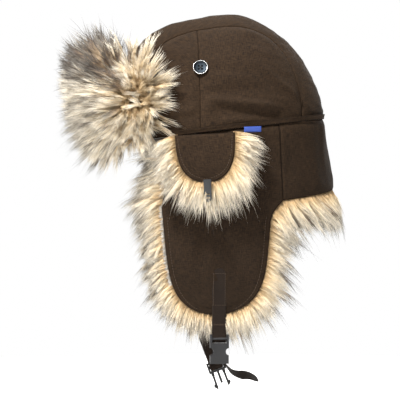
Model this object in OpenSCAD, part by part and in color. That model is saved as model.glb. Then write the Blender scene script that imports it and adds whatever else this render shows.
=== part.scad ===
// Trapper hat with a furred visor, ear covers, ear flaps and a chin strap with a side-release buckle.
// Millimetres. The hat faces -Y, +Z is up and the wearer's left is +X.
// The origin is the middle of the head opening, level with the seam between the crown and the skirt.

/* [Crown] */
// Half width of the crown at the seam
crown_half_w = 86; // [82:1:88]
// Reach of the crown ahead of the origin
crown_front = 111; // [106:1:111]
// Reach of the crown behind the origin
crown_back = 107; // [102:1:110]
// Height of the crown above the seam
crown_h = 126; // [118:1:134]
// Half width of the centre panel over the top of the head
centre_half_w = 37; // [34:1:40]
// How much wider each side of the centre panel gets towards the nape
centre_spread = 28; // [24:1:30]
// Rise of the seam for each millimetre towards the back
seam_slope = 0.118; // [0.1:0.002:0.13]
// Height of the topstitched band above the seam
band_h = 5; // [4:0.5:7]
// Height of the sweatband
sweatband_h = 14; // [10:1:16]

/* [Cloth] */
// Thickness of the outer fabric with its facing
cloth_t = 1.6; // [1.2:0.1:1.8]
// Thickness of the wadding
wadding_t = 3; // [2:0.5:3]
// Thickness of the satin lining
lining_t = 1; // [0.8:0.1:1]
// Depth of the fur lining inside the skirt and the ear flaps
fur_depth = 13; // [8:1:14]

/* [Skirt] */
// Step outwards from the crown to the skirt
skirt_step = 2.4; // [2:0.1:3]
// Drop of the neck curtain below the origin at the middle of the back
neck_drop = 63; // [55:1:70]
// Height of the fold between the upper skirt and the ear flaps
fold_z = -84; // [-88:1:-82]
// How far the neck curtain leans out for each millimetre down
neck_flare = 0.13; // [0:0.01:0.16]
// How far the sides lean in for each millimetre down
side_lean = 0.04; // [0:0.01:0.06]
// Place of the side seam along Y
side_seam_y = 51; // [48:1:56]

/* [Ear flaps] */
// Length of each ear flap below the fold
flap_len = 114; // [105:1:120]
// Half width of each ear flap at the fold
flap_half_w = 58; // [54:1:58]
// Middle of each ear flap along Y
flap_y = -18; // [-20:1:-16]
// Border of fur around the edge of an ear flap
flap_fur_rim = 7; // [3:1:8]

/* [Ear covers] */
// Length of each ear cover
cover_len = 52; // [48:1:54]
// Half width of each ear cover at the seam
cover_half_w = 32; // [28:1:33]
// Middle of each ear cover along Y
cover_y = -30; // [-32:1:-28]
// Outward lean of a hanging ear cover, in degrees
cover_lean = 9; // [8:0.5:10]
// Length of the button tab below the ear cover
tab_len = 21; // [18:1:22]
// Width of the button tab
tab_w = 8; // [7:0.5:9]

/* [Visor] */
// Half width of the visor
visor_half_w = 75; // [66:1:76]
// Height of the visor board when it is turned up
visor_h = 92; // [80:1:94]
// Depth of the visor's fur
visor_fur_depth = 44; // [30:1:46]
// Forward lean of the visor for each millimetre up
visor_lean = 0.19; // [0.15:0.01:0.22]

/* [Buttons] */
// Diameter of a crown button
button_d = 16.5; // [15:0.5:18]
// Height of the button's middle above the origin
button_z = 65; // [62:1:68]
// Place of the button along Y
button_y = -33; // [-35:1:-31]

/* [Chin strap] */
// Width of the webbing
strap_w = 15; // [15:0.5:15.5]
// Thickness of the webbing
strap_t = 1.6; // [1.4:0.1:1.6]
// Middle of the strap along Y
strap_y = -14; // [-16:1:-12]
// Length of the strap sewn on the ear flap
strap_sewn = 43; // [36:1:46]
// Free length of the left strap above its buckle
left_free = 24; // [22:1:28]
// Tilt of the right strap's free end, in degrees
right_tilt = 20; // [15:1:24]

/* [Buckle] */
// Width of the buckle
buckle_w = 20; // [20:0.5:21]
// Length of the socket
socket_len = 31; // [30:1:33]
// Thickness of the socket
socket_t = 7.6; // [7.4:0.1:8.4]
// Length of the plug's webbing frame
plug_frame_len = 12; // [12:0.5:13]
// Length of the plug's prongs
prong_len = 17; // [16:0.5:18]

/* [Hidden] */
$fn = 48;

cloth = [0.24, 0.19, 0.14];
satin = [0.20, 0.16, 0.13];
fleece = [0.86, 0.84, 0.80];
pile = [0.87, 0.77, 0.62];
black = [0.10, 0.10, 0.11];

gap = 0.4;                      // clearance between soft parts that move past each other
plan_power = 2.4;               // roundness of the head opening
brow_power = 3.6;               // a full, upright front of the crown
nape_power = 1.7;               // a rounder slope at its back
slice_step = 5;                 // degrees between two slices of the crown
seam_slices = [4, 16, 26];      // slices where the side panels start, meet and end
pole = 0.999999;                // how close the first and last slice come to the crown's ends
lining_in = cloth_t + wadding_t + lining_t;
facet_gap = 1.4;                // clears the flats of the crown panels, which cut inside the curve
ply_gap = 0.3;                  // the same between layers whose flats are smaller
fold_bottom = fold_z - gap;

// Signed power, so that one formula draws all four quarters of a superellipse
function spow(v, p) = sign(v) * pow(abs(v), p);
// Height of a superellipse of the given power over v, from -1 to 1
function arch(v, power) = pow(max(0, 1 - pow(abs(v), power)), 1 / power);
function mix(a, b, f) = a + (b - a) * f;
function seam_z(y) = seam_slope * y;

// ---- Crown: slices across the head, each half an ellipse, t in from the outer face
slice_count = 180 / slice_step;
function slice_part(i) = i == 0 ? -pole : i == slice_count ? pole
    : -spow(cos(i * slice_step), 2 / 3);
function reach(v, t) = (v < 0 ? crown_front : crown_back) - t;
function crown_point(v, turn, t) = [
    (crown_half_w - t) * arch(v, plan_power) * cos(turn),
    v * reach(v, t),
    seam_z(v * reach(v, 0)) + (crown_h - t) * arch(v, v < 0 ? brow_power : nape_power) * sin(turn)
];
// Turn of the centre panel's seam on a slice, and a hair's width where the side panels taper out
function centre_half(v) =
    centre_half_w + 2 * v + centre_spread * pow(max(0, (v - 0.35) / 0.38), 2.2);
function seam_turn(i) =
    let (v = slice_part(i))
    acos(min(1, centre_half(v) / (crown_half_w * arch(v, plan_power))));
function seam_from(i) = i < seam_slices[0] || i > seam_slices[2] ? 0 : max(0.3, seam_turn(i));

function crown_grid(first, last, from, to, columns, t) = [
    for (i = [first:last]) [
        for (c = [0:columns]) crown_point(slice_part(i), mix(from[i], to[i], c / columns), t)
    ]
];
flat_turn = [for (i = [0:slice_count]) 0];
half_turn = [for (i = [0:slice_count]) 180];
near_seam = [for (i = [0:slice_count]) seam_from(i)];
far_seam = [for (i = [0:slice_count]) 180 - seam_from(i)];

// ---- Skirt: a wall below the seam, turn is 0 at the brow and 180 at the nape
function wall_turn(y) = acos(-spow(y / ((y < 0 ? crown_front : crown_back) + skirt_step), plan_power / 2));
function wall_y(turn, t) = -((cos(turn) > 0 ? crown_front : crown_back) + skirt_step - t)
    * spow(cos(turn), 2 / plan_power);
function wall_x(turn, t) = (crown_half_w + skirt_step - t) * spow(sin(turn), 2 / plan_power);
function wall_point(turn, z, t) =
    let (drop = seam_z(wall_y(turn, 0)) - z)
    [
        wall_x(turn, t) - side_lean * drop * sin(turn),
        wall_y(turn, t) + neck_flare * drop * max(0, -cos(turn)),
        z
    ];
function wall_seam_z(turn) = seam_z(wall_y(turn, 0));
side_turn = wall_turn(side_seam_y);

// A closed skin between two matching grids of points, one outside and one inside.
// A grid that runs over the head from side to side turns its diagonals round at the middle.
module skin(outer, inner, over_head = false) {
    rows = len(outer);
    columns = len(outer[0]);
    count = rows * columns;
    border = concat(
        [for (c = [0:columns - 2]) c],
        [for (r = [0:rows - 2]) r * columns + columns - 1],
        [for (c = [columns - 1:-1:1]) (rows - 1) * columns + c],
        [for (r = [rows - 1:-1:1]) r * columns]
    );
    front = [
        for (r = [0:rows - 2], c = [0:columns - 2])
            let (a = r * columns + c, b = a + 1, d = a + columns, e = d + 1)
            each over_head && c >= (columns - 1) / 2 ? [[a, b, d], [b, e, d]] : [[a, b, e], [a, e, d]]
    ];
    back = [for (f = front) [f[2] + count, f[1] + count, f[0] + count]];
    rim = [
        for (i = [0:len(border) - 1])
            let (a = border[i], b = border[(i + 1) % len(border)])
            each [[b, a, a + count], [b, a + count, b + count]]
    ];
    points = concat([for (row = outer) each row], [for (row = inner) each row]);
    polyhedron(points, concat(front, back, rim));
}

// ---- Crown pieces
module crown_piece(first, last, from, to, columns, t_out, t_in) {
    skin(
        crown_grid(first, last, from, to, columns, t_out),
        crown_grid(first, last, from, to, columns, t_in),
        over_head = to[slice_count / 2] > 90
    );
}
module crown_center_panel() {
    color(cloth) crown_piece(0, slice_count, near_seam, far_seam, 12, 0, cloth_t);
}
module crown_front_panel_left() {
    color(cloth) crown_piece(seam_slices[0], seam_slices[1], flat_turn, near_seam, 6, 0, cloth_t);
}
module crown_front_panel_right() {
    mirror([1, 0, 0]) crown_front_panel_left();
}
module crown_back_panel_left() {
    color(cloth) crown_piece(seam_slices[1], seam_slices[2], flat_turn, near_seam, 6, 0, cloth_t);
}
module crown_back_panel_right() {
    mirror([1, 0, 0]) crown_back_panel_left();
}
module crown_wadding() {
    color(fleece)
        crown_piece(
            0, slice_count, flat_turn, half_turn, 12, cloth_t + facet_gap, cloth_t + wadding_t
        );
}
module crown_lining() {
    color(satin)
        crown_piece(0, slice_count, flat_turn, half_turn, 12, cloth_t + wadding_t, lining_in);
}

// ---- Bands around the head: strips whose ends meet at the nape
band_ends = [180.4, 539.6];
band_parts = 36;
module head_band(t_out, t_in, low, high) {
    turns = [for (i = [0:band_parts]) mix(band_ends[0], band_ends[1], i / band_parts)];
    rows = [high, low];
    skin(
        [for (h = rows) [for (a = turns) [wall_x(a, t_out), wall_y(a, t_out), wall_seam_z(a) + h]]],
        [for (h = rows) [for (a = turns) [wall_x(a, t_in), wall_y(a, t_in), wall_seam_z(a) + h]]]
    );
}
sweatband_in = 7.6;             // depth of the sweatband inside the crown's outer face
sweatband_dip = 3;              // how far it reaches below the seam
module sweatband() {
    depth = skirt_step + sweatband_in;
    color(satin) head_band(depth, depth + cloth_t, -sweatband_dip, sweatband_h - sweatband_dip);
}
module seam_band() {
    color(cloth) head_band(skirt_step - 1.5, skirt_step - 0.5, 0.05, band_h);
}

// ---- Buttons: sewn on where the ear covers' tabs reach when they are turned up
button_t = 3.4;
button_stand = 1;               // thread shank between the crown and the button
button_part = button_y / crown_front;
button_rise = crown_h * arch(button_part, brow_power);
button_side = crown_half_w * arch(button_part, plan_power);
button_turn = asin((button_z - seam_z(button_y)) / button_rise);
button_tip = atan2(sin(button_turn) / button_rise, cos(button_turn) / button_side);
button_yaw = -5;
hole_at = 2.1;
module on_crown_side() {
    translate([button_side * cos(button_turn), button_y, button_z])
        rotate([0, 90 - button_tip, button_yaw])
            children();
}
module crown_button_left() {
    color([0.55, 0.57, 0.60]) on_crown_side() translate([0, 0, button_stand])
        difference() {
            cylinder(h = button_t, d = button_d);
            translate([0, 0, button_t - 1.2]) cylinder(h = 2, d = button_d - 3.6);
            for (a = [45:90:315]) rotate([0, 0, a]) translate([hole_at, 0, -1])
                cylinder(h = button_t + 2, d = 1.8);
        }
}
module crown_button_right() {
    mirror([1, 0, 0]) crown_button_left();
}
module button_threads() {
    color(black) for (side = [0, 1]) mirror([side, 0, 0]) on_crown_side()
        cylinder(h = button_stand, d = 4);
}

// ---- Skirt pieces
tag_size = [0.8, 18, 9];
tag_low = [89.2, 12, -4];
tag_yaw = 3.6;
module side_tag() {
    color([0.55, 0.50, 0.40]) translate(tag_low) rotate([0, 0, tag_yaw]) cube(tag_size);
}
front_edge = [-58, 0.208];      // the face edge's place at the seam and its slope
function front_y(z) = front_edge[0] + front_edge[1] * z;
module ear_panel_piece(t_out, t_in, top_drop, low) {
    rows = 6;
    columns = 9;
    function place(r, c) =
        let (level = mix(-7, low, r / rows), turn = mix(wall_turn(front_y(level)), side_turn, c / columns))
        [turn, mix(wall_seam_z(turn) - top_drop, low, r / rows)];
    function grid(t) = [
        for (r = [0:rows]) [for (c = [0:columns]) wall_point(place(r, c)[0], place(r, c)[1], t)]
    ];
    skin(grid(t_out), grid(t_in));
}
fur_start = sweatband_dip + 1;
module ear_panel_left() {
    color(cloth) ear_panel_piece(0, cloth_t, 0, fold_z);
}
module ear_panel_right() {
    mirror([1, 0, 0]) ear_panel_left();
}
module ear_panel_fur_left() {
    color(pile) ear_panel_piece(cloth_t + ply_gap, cloth_t + fur_depth, fur_start, fold_z);
}
module ear_panel_fur_right() {
    mirror([1, 0, 0]) ear_panel_fur_left();
}

neck_columns = 20;
function neck_low(turn) =
    -neck_drop - (-fold_z - 1 - neck_drop) * pow(abs(turn - 180) / (180 - side_turn), 1.3);
module neck_piece(t_out, t_in, top_drop) {
    rows = 5;
    function turn(c) = mix(side_turn, 360 - side_turn, c / neck_columns);
    function grid(t) = [
        for (r = [0:rows]) [
            for (c = [0:neck_columns])
                wall_point(turn(c), mix(wall_seam_z(turn(c)) - top_drop, neck_low(turn(c)), r / rows), t)
        ]
    ];
    skin(grid(t_out), grid(t_in));
}
module neck_curtain() {
    color(cloth) neck_piece(0, cloth_t, 0);
}
module neck_fur() {
    color(pile) neck_piece(cloth_t + ply_gap, cloth_t + fur_depth, fur_start);
}

// ---- Ear flaps: lobes that fold up at the fold line
flap_rows = 10;
function flap_half(s) = (flap_half_w - 8 * s) * pow(1 - pow(s, 5), 1 / 2.2);
function flap_part(r) = 0.995 * (1 - pow(1 - r / flap_rows, 1.8));
module flap_piece(t_out, t_in, rim) {
    columns = 9;
    function place(r, c) =
        let (
            s = flap_part(r),
            half = flap_half(s) + rim * min(1, 4 * s),
            y = flap_y + mix(-half, half, c / columns)
        )
        [wall_turn(y), fold_bottom - s * (flap_len - gap + rim)];
    function grid(t) = [
        for (r = [0:flap_rows])
            [for (c = [0:columns]) wall_point(place(r, c)[0], place(r, c)[1], t)]
    ];
    skin(grid(t_out), grid(t_in));
}
module ear_flap_shell_left() {
    color(cloth) flap_piece(0, cloth_t, 0);
}
module ear_flap_shell_right() {
    mirror([1, 0, 0]) ear_flap_shell_left();
}
flap_wadding_t = 2.4;
module ear_flap_wadding_left() {
    color(fleece) flap_piece(cloth_t + ply_gap, cloth_t + flap_wadding_t - ply_gap, -2);
}
module ear_flap_wadding_right() {
    mirror([1, 0, 0]) ear_flap_wadding_left();
}
module ear_flap_fur_left() {
    inner_face = cloth_t + flap_wadding_t;
    color(pile) flap_piece(inner_face, inner_face + fur_depth, flap_fur_rim);
}
module ear_flap_fur_right() {
    mirror([1, 0, 0]) ear_flap_fur_left();
}

// ---- Ear covers: drawn hanging from their hinge line, then leant, tilted and turned to the side
cover_yaw = 6.5;
cover_tilt = 3;
cover_out = 2.4;                // hinge line outside the skirt
cover_t = 1.8;
cover_hinge = [wall_x(wall_turn(cover_y), 0) + cover_out, cover_y, seam_z(cover_y) - 2];
module at_cover_hinge() {
    translate(cover_hinge) rotate([cover_tilt, 0, -cover_yaw]) children();
}
// Outline of the cover: X across, Y down from the hinge line, with a rounded lower end
outline_parts = 12;
function cover_half(s) = cover_half_w * (1 - 0.05 * s) * pow(1 - pow(s, 3.5), 0.5);
function cover_side(way, rim) = [
    for (i = [0:outline_parts])
        let (s = 0.997 * sin(90 * i / outline_parts))
        [way * (cover_half(s) + rim), 1 + s * (cover_len - 1 + rim)]
];
module cover_outline(rim) {
    right = cover_side(1, rim);
    left = cover_side(-1, rim);
    polygon(concat(right, [for (i = [outline_parts:-1:0]) left[i]]));
}
// Stands a flat shape up in the hanging plane, out from low to high
module hang(low, high) {
    rotate([0, -cover_lean, 0]) translate([low, 0, 0])
        rotate([0, 90, 0]) linear_extrude(high - low) rotate([0, 0, 90]) mirror([0, 1, 0]) children();
}
module ear_cover_shell_left() {
    color(cloth) at_cover_hinge() hang(0, cover_t) cover_outline(0);
}
module ear_cover_shell_right() {
    mirror([1, 0, 0]) ear_cover_shell_left();
}
cover_fur_rim = 5;
cover_fur_back = -1;            // plane next to the skirt that the fur stops at
module ear_cover_fur_left() {
    reach = 2 * cover_len;
    color(pile) at_cover_hinge() intersection() {
        hang(-12, 0) cover_outline(cover_fur_rim);
        translate([cover_fur_back, -reach, -reach]) cube([reach, 2 * reach, reach - 8]);
    }
}
module ear_cover_fur_right() {
    mirror([1, 0, 0]) ear_cover_fur_left();
}
tab_top = cover_len - 3;
slot_size = [4.4, 1.6];
module tab_outline() {
    round_r = tab_w / 2;
    end = cover_len + tab_len - round_r;
    difference() {
        union() {
            translate([-tab_w / 2, tab_top]) square([tab_w, end - tab_top]);
            translate([0, end]) circle(r = round_r);
        }
        for (back = [0, 4]) translate([-slot_size[0] / 2, end - back - 1]) square(slot_size);
    }
}
module button_tab_left() {
    color(black) at_cover_hinge() hang(cover_t, cover_t + 1.6) tab_outline();
}
module button_tab_right() {
    mirror([1, 0, 0]) button_tab_left();
}

// ---- Visor: a board that stands up in front of the crown, drawn with its fur outwards
visor_low = -12;                // the visor's lower edge
visor_back = -113;              // its inner face at the middle
visor_bow = 18;                 // how far its ends come back
function visor_wide(s) = visor_half_w * pow(1 - pow(s, 4), 1 / 2.5);
module visor_piece(out_from, out_to, rim, rise_low, rise_high) {
    rows = 8;
    columns = 10;
    function part(r) = 0.985 * sin(90 * r / rows);
    function point(r, c, out) =
        let (
            up = mix(rise_low, rise_high, part(r)),
            x = mix(-1, 1, c / columns) * (visor_wide(part(r)) + rim)
        )
        [x, visor_back + visor_bow * pow(x / visor_half_w, 2) - visor_lean * up - out, visor_low + up];
    function grid(out) = [for (r = [0:rows]) [for (c = [0:columns]) point(r, c, out)]];
    skin(grid(out_from), grid(out_to));
}
board_t = 1.6;
visor_face = 2 * cloth_t + board_t;
module visor_shell() {
    color(cloth) visor_piece(0, cloth_t, 0, 0, visor_h);
}
module visor_board() {
    color(black)
        visor_piece(cloth_t + ply_gap, cloth_t + board_t - ply_gap, -4, 4, visor_h - 4);
}
module visor_fur() {
    color(pile) visor_piece(cloth_t + board_t, visor_face + visor_fur_depth, 6, -7, visor_h + 28);
}

// ---- Chin strap: the sewn part lies on the ear flap, the free part hangs below it
flap_bottom = fold_z - flap_len;
strap_face = wall_x(wall_turn(strap_y), 0);
function strap_x(z) = strap_face - side_lean * (seam_z(strap_y) - z);
lean_angle = atan(side_lean);
strap_lift = 0.5;               // clearance over the curve of the flap
strap_top = [strap_x(flap_bottom + strap_sewn) + strap_lift, strap_y, flap_bottom + strap_sewn];
module strap_anchor_left() {
    color(cloth) translate(strap_top) rotate([0, lean_angle, 0]) rotate([0, 90, 0])
        linear_extrude(strap_t) {
            circle(d = strap_w);
            translate([0, -strap_w / 2]) square([strap_sewn, strap_w]);
        }
}
module strap_anchor_right() {
    mirror([1, 0, 0]) strap_anchor_left();
}
// The free straps hang from this line, in the middle of the webbing
strap_hinge = [strap_x(flap_bottom) + strap_lift + strap_t / 2, strap_y, flap_bottom - 1];
module flat_strap(from, to) {
    translate([-strap_t / 2, -strap_w / 2, -to]) cube([strap_t, strap_w, to - from]);
}
bar_r = 1.5;
// Webbing turned around a buckle's bar that runs along Y
module strap_eye() {
    rotate([90, 0, 0]) difference() {
        cylinder(h = strap_w, r = bar_r + 0.15 + strap_t, center = true);
        cylinder(h = strap_w + 2, r = bar_r + 0.15, center = true);
    }
}
module chin_strap_left() {
    color(cloth) translate(strap_hinge) difference() {
        union() {
            flat_strap(gap, left_free);
            translate([0, 0, -left_free]) strap_eye();
        }
        translate([0, 0, -left_free]) rotate([90, 0, 0])
            cylinder(h = strap_w + 2, r = bar_r + 0.15, center = true);
    }
}
// Socket, with its webbing bar at the local origin and its mouth downwards
socket_top = 4.4;               // from the bar to the upper edge
eye_room = 9;                   // length of the window around the webbing
wall_t = 1.3;
window_r = 4;
module buckle_socket() {
    low = socket_top - socket_len;
    inner_w = strap_w + 0.8;
    color(black) translate(strap_hinge) translate([0, 0, -left_free]) {
        difference() {
            translate([-socket_t / 2, -buckle_w / 2, low]) cube([socket_t, buckle_w, socket_len]);
            // Window for the webbing
            translate([-socket_t, -inner_w / 2, socket_top - 1.2 - eye_room + 1])
                cube([2 * socket_t, inner_w, eye_room]);
            // Opening above the bar, where the webbing enters
            translate([-socket_t, -inner_w / 2, 0]) cube([2 * socket_t, inner_w, 2 * socket_top]);
            // Mouth for the plug
            translate([wall_t - socket_t / 2, -inner_w / 2, low - 1])
                cube([socket_t - 2 * wall_t, inner_w, socket_len - eye_room - 2]);
            // Side openings where the latches show
            for (side = [-1, 1]) translate([-socket_t, side * (buckle_w / 2 + 0.6), low + 13])
                rotate([0, 90, 0]) cylinder(h = 2 * socket_t, r = window_r);
        }
        rotate([90, 0, 0]) cylinder(h = buckle_w - 1, r = bar_r, center = true);
    }
}
// The right strap drops straight, then tilts with the plug
right_drop = 34;
right_len = 34;
module at_right_bend() {
    mirror([1, 0, 0]) translate(strap_hinge) translate([0, 0, -right_drop])
        rotate([right_tilt, 0, 0]) children();
}
module chin_strap_right() {
    half = strap_w / 2;
    miter = half * tan(right_tilt / 2);
    across = [cos(right_tilt), sin(right_tilt)];
    end = [right_len * sin(right_tilt), -right_drop - right_len * cos(right_tilt)];
    color(cloth) difference() {
        union() {
            mirror([1, 0, 0]) translate(strap_hinge) translate([-strap_t / 2, 0, 0])
                rotate([90, 0, 90]) linear_extrude(strap_t) polygon([
                    [-half, -gap], [half, -gap], [half, miter - right_drop],
                    end + half * across, end - half * across, [-half, -miter - right_drop]
                ]);
            at_right_bend() translate([0, 0, -right_len]) strap_eye();
        }
        at_right_bend() translate([0, 0, -right_len]) rotate([90, 0, 0])
            cylinder(h = strap_w + 2, r = bar_r + 0.15, center = true);
    }
}
// Plug, with its webbing bar at the local origin and its prongs downwards
plug_t = 5;
prong_root = -(plug_frame_len - 5);
latch_at = buckle_w / 2 - 3.4;
module at_plug() {
    at_right_bend() translate([0, 0, -right_len]) children();
}
module buckle_plug() {
    window_w = strap_w + 0.8;
    color(black) at_plug() {
        difference() {
            translate([-plug_t / 2, -buckle_w / 2, prong_root]) cube([plug_t, buckle_w, plug_frame_len]);
            translate([-plug_t, -window_w / 2, -4.6]) cube([2 * plug_t, window_w, 8]);
            // Slot in the end bar, where the webbing passes
            translate([-1.2, -window_w / 2, 2]) cube([2.4, window_w, 6]);
        }
        rotate([90, 0, 0]) cylinder(h = buckle_w - 1, r = bar_r, center = true);
        translate([-1.1, -1.3, prong_root - prong_len + 3]) cube([2.2, 2.6, prong_len]);
        for (side = [-1, 1]) translate([0, side * latch_at, prong_root - 2.2])
            rotate([0, 90, 0]) cylinder(h = plug_t - 2, r = pin_r, center = true);
        for (side = [-1, 1]) translate([plug_t / 2 - 1.5, side * latch_at - 1.6, prong_root - 3.4])
            cube([1.5, 3.2, 3.6]);
        for (side = [-1, 1]) translate([-plug_t / 2, side * latch_at - 1.6, prong_root - 3.4])
            cube([1.5, 3.2, 3.6]);
    }
}
// One latch arm with its barb outwards, turning about a short pin at its root
latch_t = 1.7;
pin_r = 0.8;
module latch(side) {
    color(black) at_plug() translate([0, side * latch_at, prong_root - 2.2]) mirror([0, side < 0 ? 1 : 0, 0])
        rotate([0, 90, 0]) rotate([0, 0, 90]) difference() {
            union() {
                cylinder(h = latch_t, r = 2 * pin_r, center = true);
                linear_extrude(latch_t, center = true) polygon([
                    [-1.2, -pin_r - 0.2], [1.2, -pin_r - 0.2], [1.4, -prong_len + 6],
                    [3.2, -prong_len + 5], [3.2, -prong_len + 3], [0.6, -prong_len],
                    [-0.9, -prong_len]
                ]);
            }
            cylinder(h = 2 * latch_t, r = pin_r + 0.1, center = true);
        }
}
module buckle_latch_front() {
    latch(-1);
}
module buckle_latch_back() {
    latch(1);
}
// Loose end of the right strap, edge on to the side
tail_path = [[23, 3.5], [25.5, -1], [30, -6], [38, -8.5], [48, -9], [55, -12], [60, -16]];
module strap_tail() {
    lower = [for (p = tail_path) p + [-0.6, -strap_t]];
    color(cloth) mirror([1, 0, 0])
        translate([strap_hinge[0] - strap_w / 2, strap_hinge[1], strap_hinge[2] - right_drop - right_len])
            rotate([90, 0, 90]) linear_extrude(strap_w)
                polygon(concat(tail_path, [for (i = [len(lower) - 1:-1:0]) lower[i]]));
}

crown_center_panel();
crown_front_panel_left();
crown_front_panel_right();
crown_back_panel_left();
crown_back_panel_right();
crown_wadding();
crown_lining();
sweatband();
seam_band();
crown_button_left();
crown_button_right();
button_threads();
side_tag();
ear_panel_left();
ear_panel_right();
neck_curtain();
neck_fur();
ear_panel_fur_left();
ear_panel_fur_right();
visor_shell();
visor_board();
visor_fur();
ear_cover_shell_left();
ear_cover_shell_right();
ear_cover_fur_left();
ear_cover_fur_right();
button_tab_left();
button_tab_right();
ear_flap_shell_left();
ear_flap_shell_right();
ear_flap_wadding_left();
ear_flap_wadding_right();
ear_flap_fur_left();
ear_flap_fur_right();
strap_anchor_left();
strap_anchor_right();
chin_strap_left();
chin_strap_right();
buckle_socket();
buckle_plug();
buckle_latch_front();
buckle_latch_back();
strap_tail();
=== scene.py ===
"""Looks of the trapper hat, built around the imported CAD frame. Shapes are drawn in millimetres."""
import math
import bpy
import numpy as np
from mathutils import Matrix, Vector, noise


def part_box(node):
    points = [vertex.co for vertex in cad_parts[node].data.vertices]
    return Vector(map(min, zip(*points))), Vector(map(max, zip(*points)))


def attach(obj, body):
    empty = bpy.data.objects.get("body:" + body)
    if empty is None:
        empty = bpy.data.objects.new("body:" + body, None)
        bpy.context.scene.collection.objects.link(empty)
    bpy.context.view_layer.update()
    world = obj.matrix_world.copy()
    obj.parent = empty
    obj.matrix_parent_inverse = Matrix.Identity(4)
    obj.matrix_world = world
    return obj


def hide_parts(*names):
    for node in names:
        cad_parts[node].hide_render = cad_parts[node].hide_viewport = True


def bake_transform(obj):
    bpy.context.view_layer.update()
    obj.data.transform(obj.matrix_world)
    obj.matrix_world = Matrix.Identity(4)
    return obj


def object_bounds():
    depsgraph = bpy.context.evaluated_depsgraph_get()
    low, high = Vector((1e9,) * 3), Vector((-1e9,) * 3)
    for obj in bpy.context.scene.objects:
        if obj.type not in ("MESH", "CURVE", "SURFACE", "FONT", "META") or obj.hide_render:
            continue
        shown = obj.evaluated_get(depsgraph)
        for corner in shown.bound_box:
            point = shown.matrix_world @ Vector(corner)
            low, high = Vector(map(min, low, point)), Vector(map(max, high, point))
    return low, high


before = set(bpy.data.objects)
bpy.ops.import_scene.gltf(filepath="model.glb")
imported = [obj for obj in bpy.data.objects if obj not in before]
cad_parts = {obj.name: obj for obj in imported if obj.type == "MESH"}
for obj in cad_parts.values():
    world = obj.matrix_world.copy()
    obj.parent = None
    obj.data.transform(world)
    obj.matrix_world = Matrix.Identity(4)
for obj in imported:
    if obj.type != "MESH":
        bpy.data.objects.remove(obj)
cad_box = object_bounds()
MM = 0.001


def node_box(name):
    """Lowest and highest corner of a CAD node in millimetres."""
    low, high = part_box(name)
    return np.array(low) / MM, np.array(high) / MM


# ---- Measures shared with the CAD source
center_low, center_high = node_box("crown_center_panel")
CROWN_FRONT = -center_low[1]
CROWN_BACK = center_high[1]
CROWN_HALF_W = node_box("crown_front_panel_left")[1][0]
CROWN_H = center_high[2]
CENTRE_HALF_W = 37.0
CENTRE_SPREAD = 28.0
SEAM_SLOPE = 0.118
PLAN_POWER = 2.4
BROW_POWER = 3.6
NAPE_POWER = 1.7
SKIRT_STEP = 2.4
SIDE_LEAN = 0.04
NECK_FLARE = 0.13
CLOTH_T = 1.6
FOLD_Z = -84.0
FLAP_LEN = 114.0
FLAP_Y = -18.0
SIDE_SEAM_Y = 51.0
STRAP_W = 15.0
STRAP_T = 1.6
STRAP_Y = -14.0


def signed_power(v, p):
    return np.sign(v) * np.abs(v) ** p


def arch(v, power):
    return np.maximum(0.0, 1.0 - np.abs(v) ** power) ** (1.0 / power)


def seam_height(y):
    return SEAM_SLOPE * y


def smoothstep(low, high, v):
    q = np.clip((v - low) / (high - low), 0.0, 1.0)
    return q * q * (3.0 - 2.0 * q)


def unit(v):
    return v / np.maximum(np.linalg.norm(v, axis=-1, keepdims=True), 1e-9)


def crown_point(v, turn, t):
    """A point of the crown: v from -1 at the brow to 1 at the nape, turn in degrees across the head."""
    limit = np.where(v < 0, CROWN_FRONT, CROWN_BACK)
    power_arch = np.where(v < 0, arch(v, BROW_POWER), arch(v, NAPE_POWER))
    angle = np.radians(turn)
    x = (CROWN_HALF_W - t) * arch(v, PLAN_POWER) * np.cos(angle)
    y = v * (limit - t)
    z = seam_height(v * limit) + (CROWN_H - t) * power_arch * np.sin(angle)
    return np.stack([x, y, z], -1)


def wall_turn(y):
    limit = np.where(y < 0, CROWN_FRONT, CROWN_BACK) + SKIRT_STEP
    return np.degrees(np.arccos(-signed_power(y / limit, PLAN_POWER / 2)))


def wall_y(turn, t):
    c = np.cos(np.radians(turn))
    limit = np.where(c > 0, CROWN_FRONT, CROWN_BACK) + SKIRT_STEP
    return -(limit - t) * signed_power(c, 2 / PLAN_POWER)


def wall_x(turn, t):
    return (CROWN_HALF_W + SKIRT_STEP - t) * signed_power(np.sin(np.radians(turn)), 2 / PLAN_POWER)


def wall_point(turn, z, t):
    """A point of the skirt: turn in degrees from the brow round the wearer's left to the nape."""
    drop = seam_height(wall_y(turn, 0.0)) - z
    s = np.sin(np.radians(turn))
    c = np.cos(np.radians(turn))
    x = wall_x(turn, t) - SIDE_LEAN * drop * s
    y = wall_y(turn, t) + NECK_FLARE * drop * np.maximum(0.0, -c)
    return np.stack([x, y, z + 0.0 * turn], -1)


SIDE_TURN = float(wall_turn(np.array(SIDE_SEAM_Y)))


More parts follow.
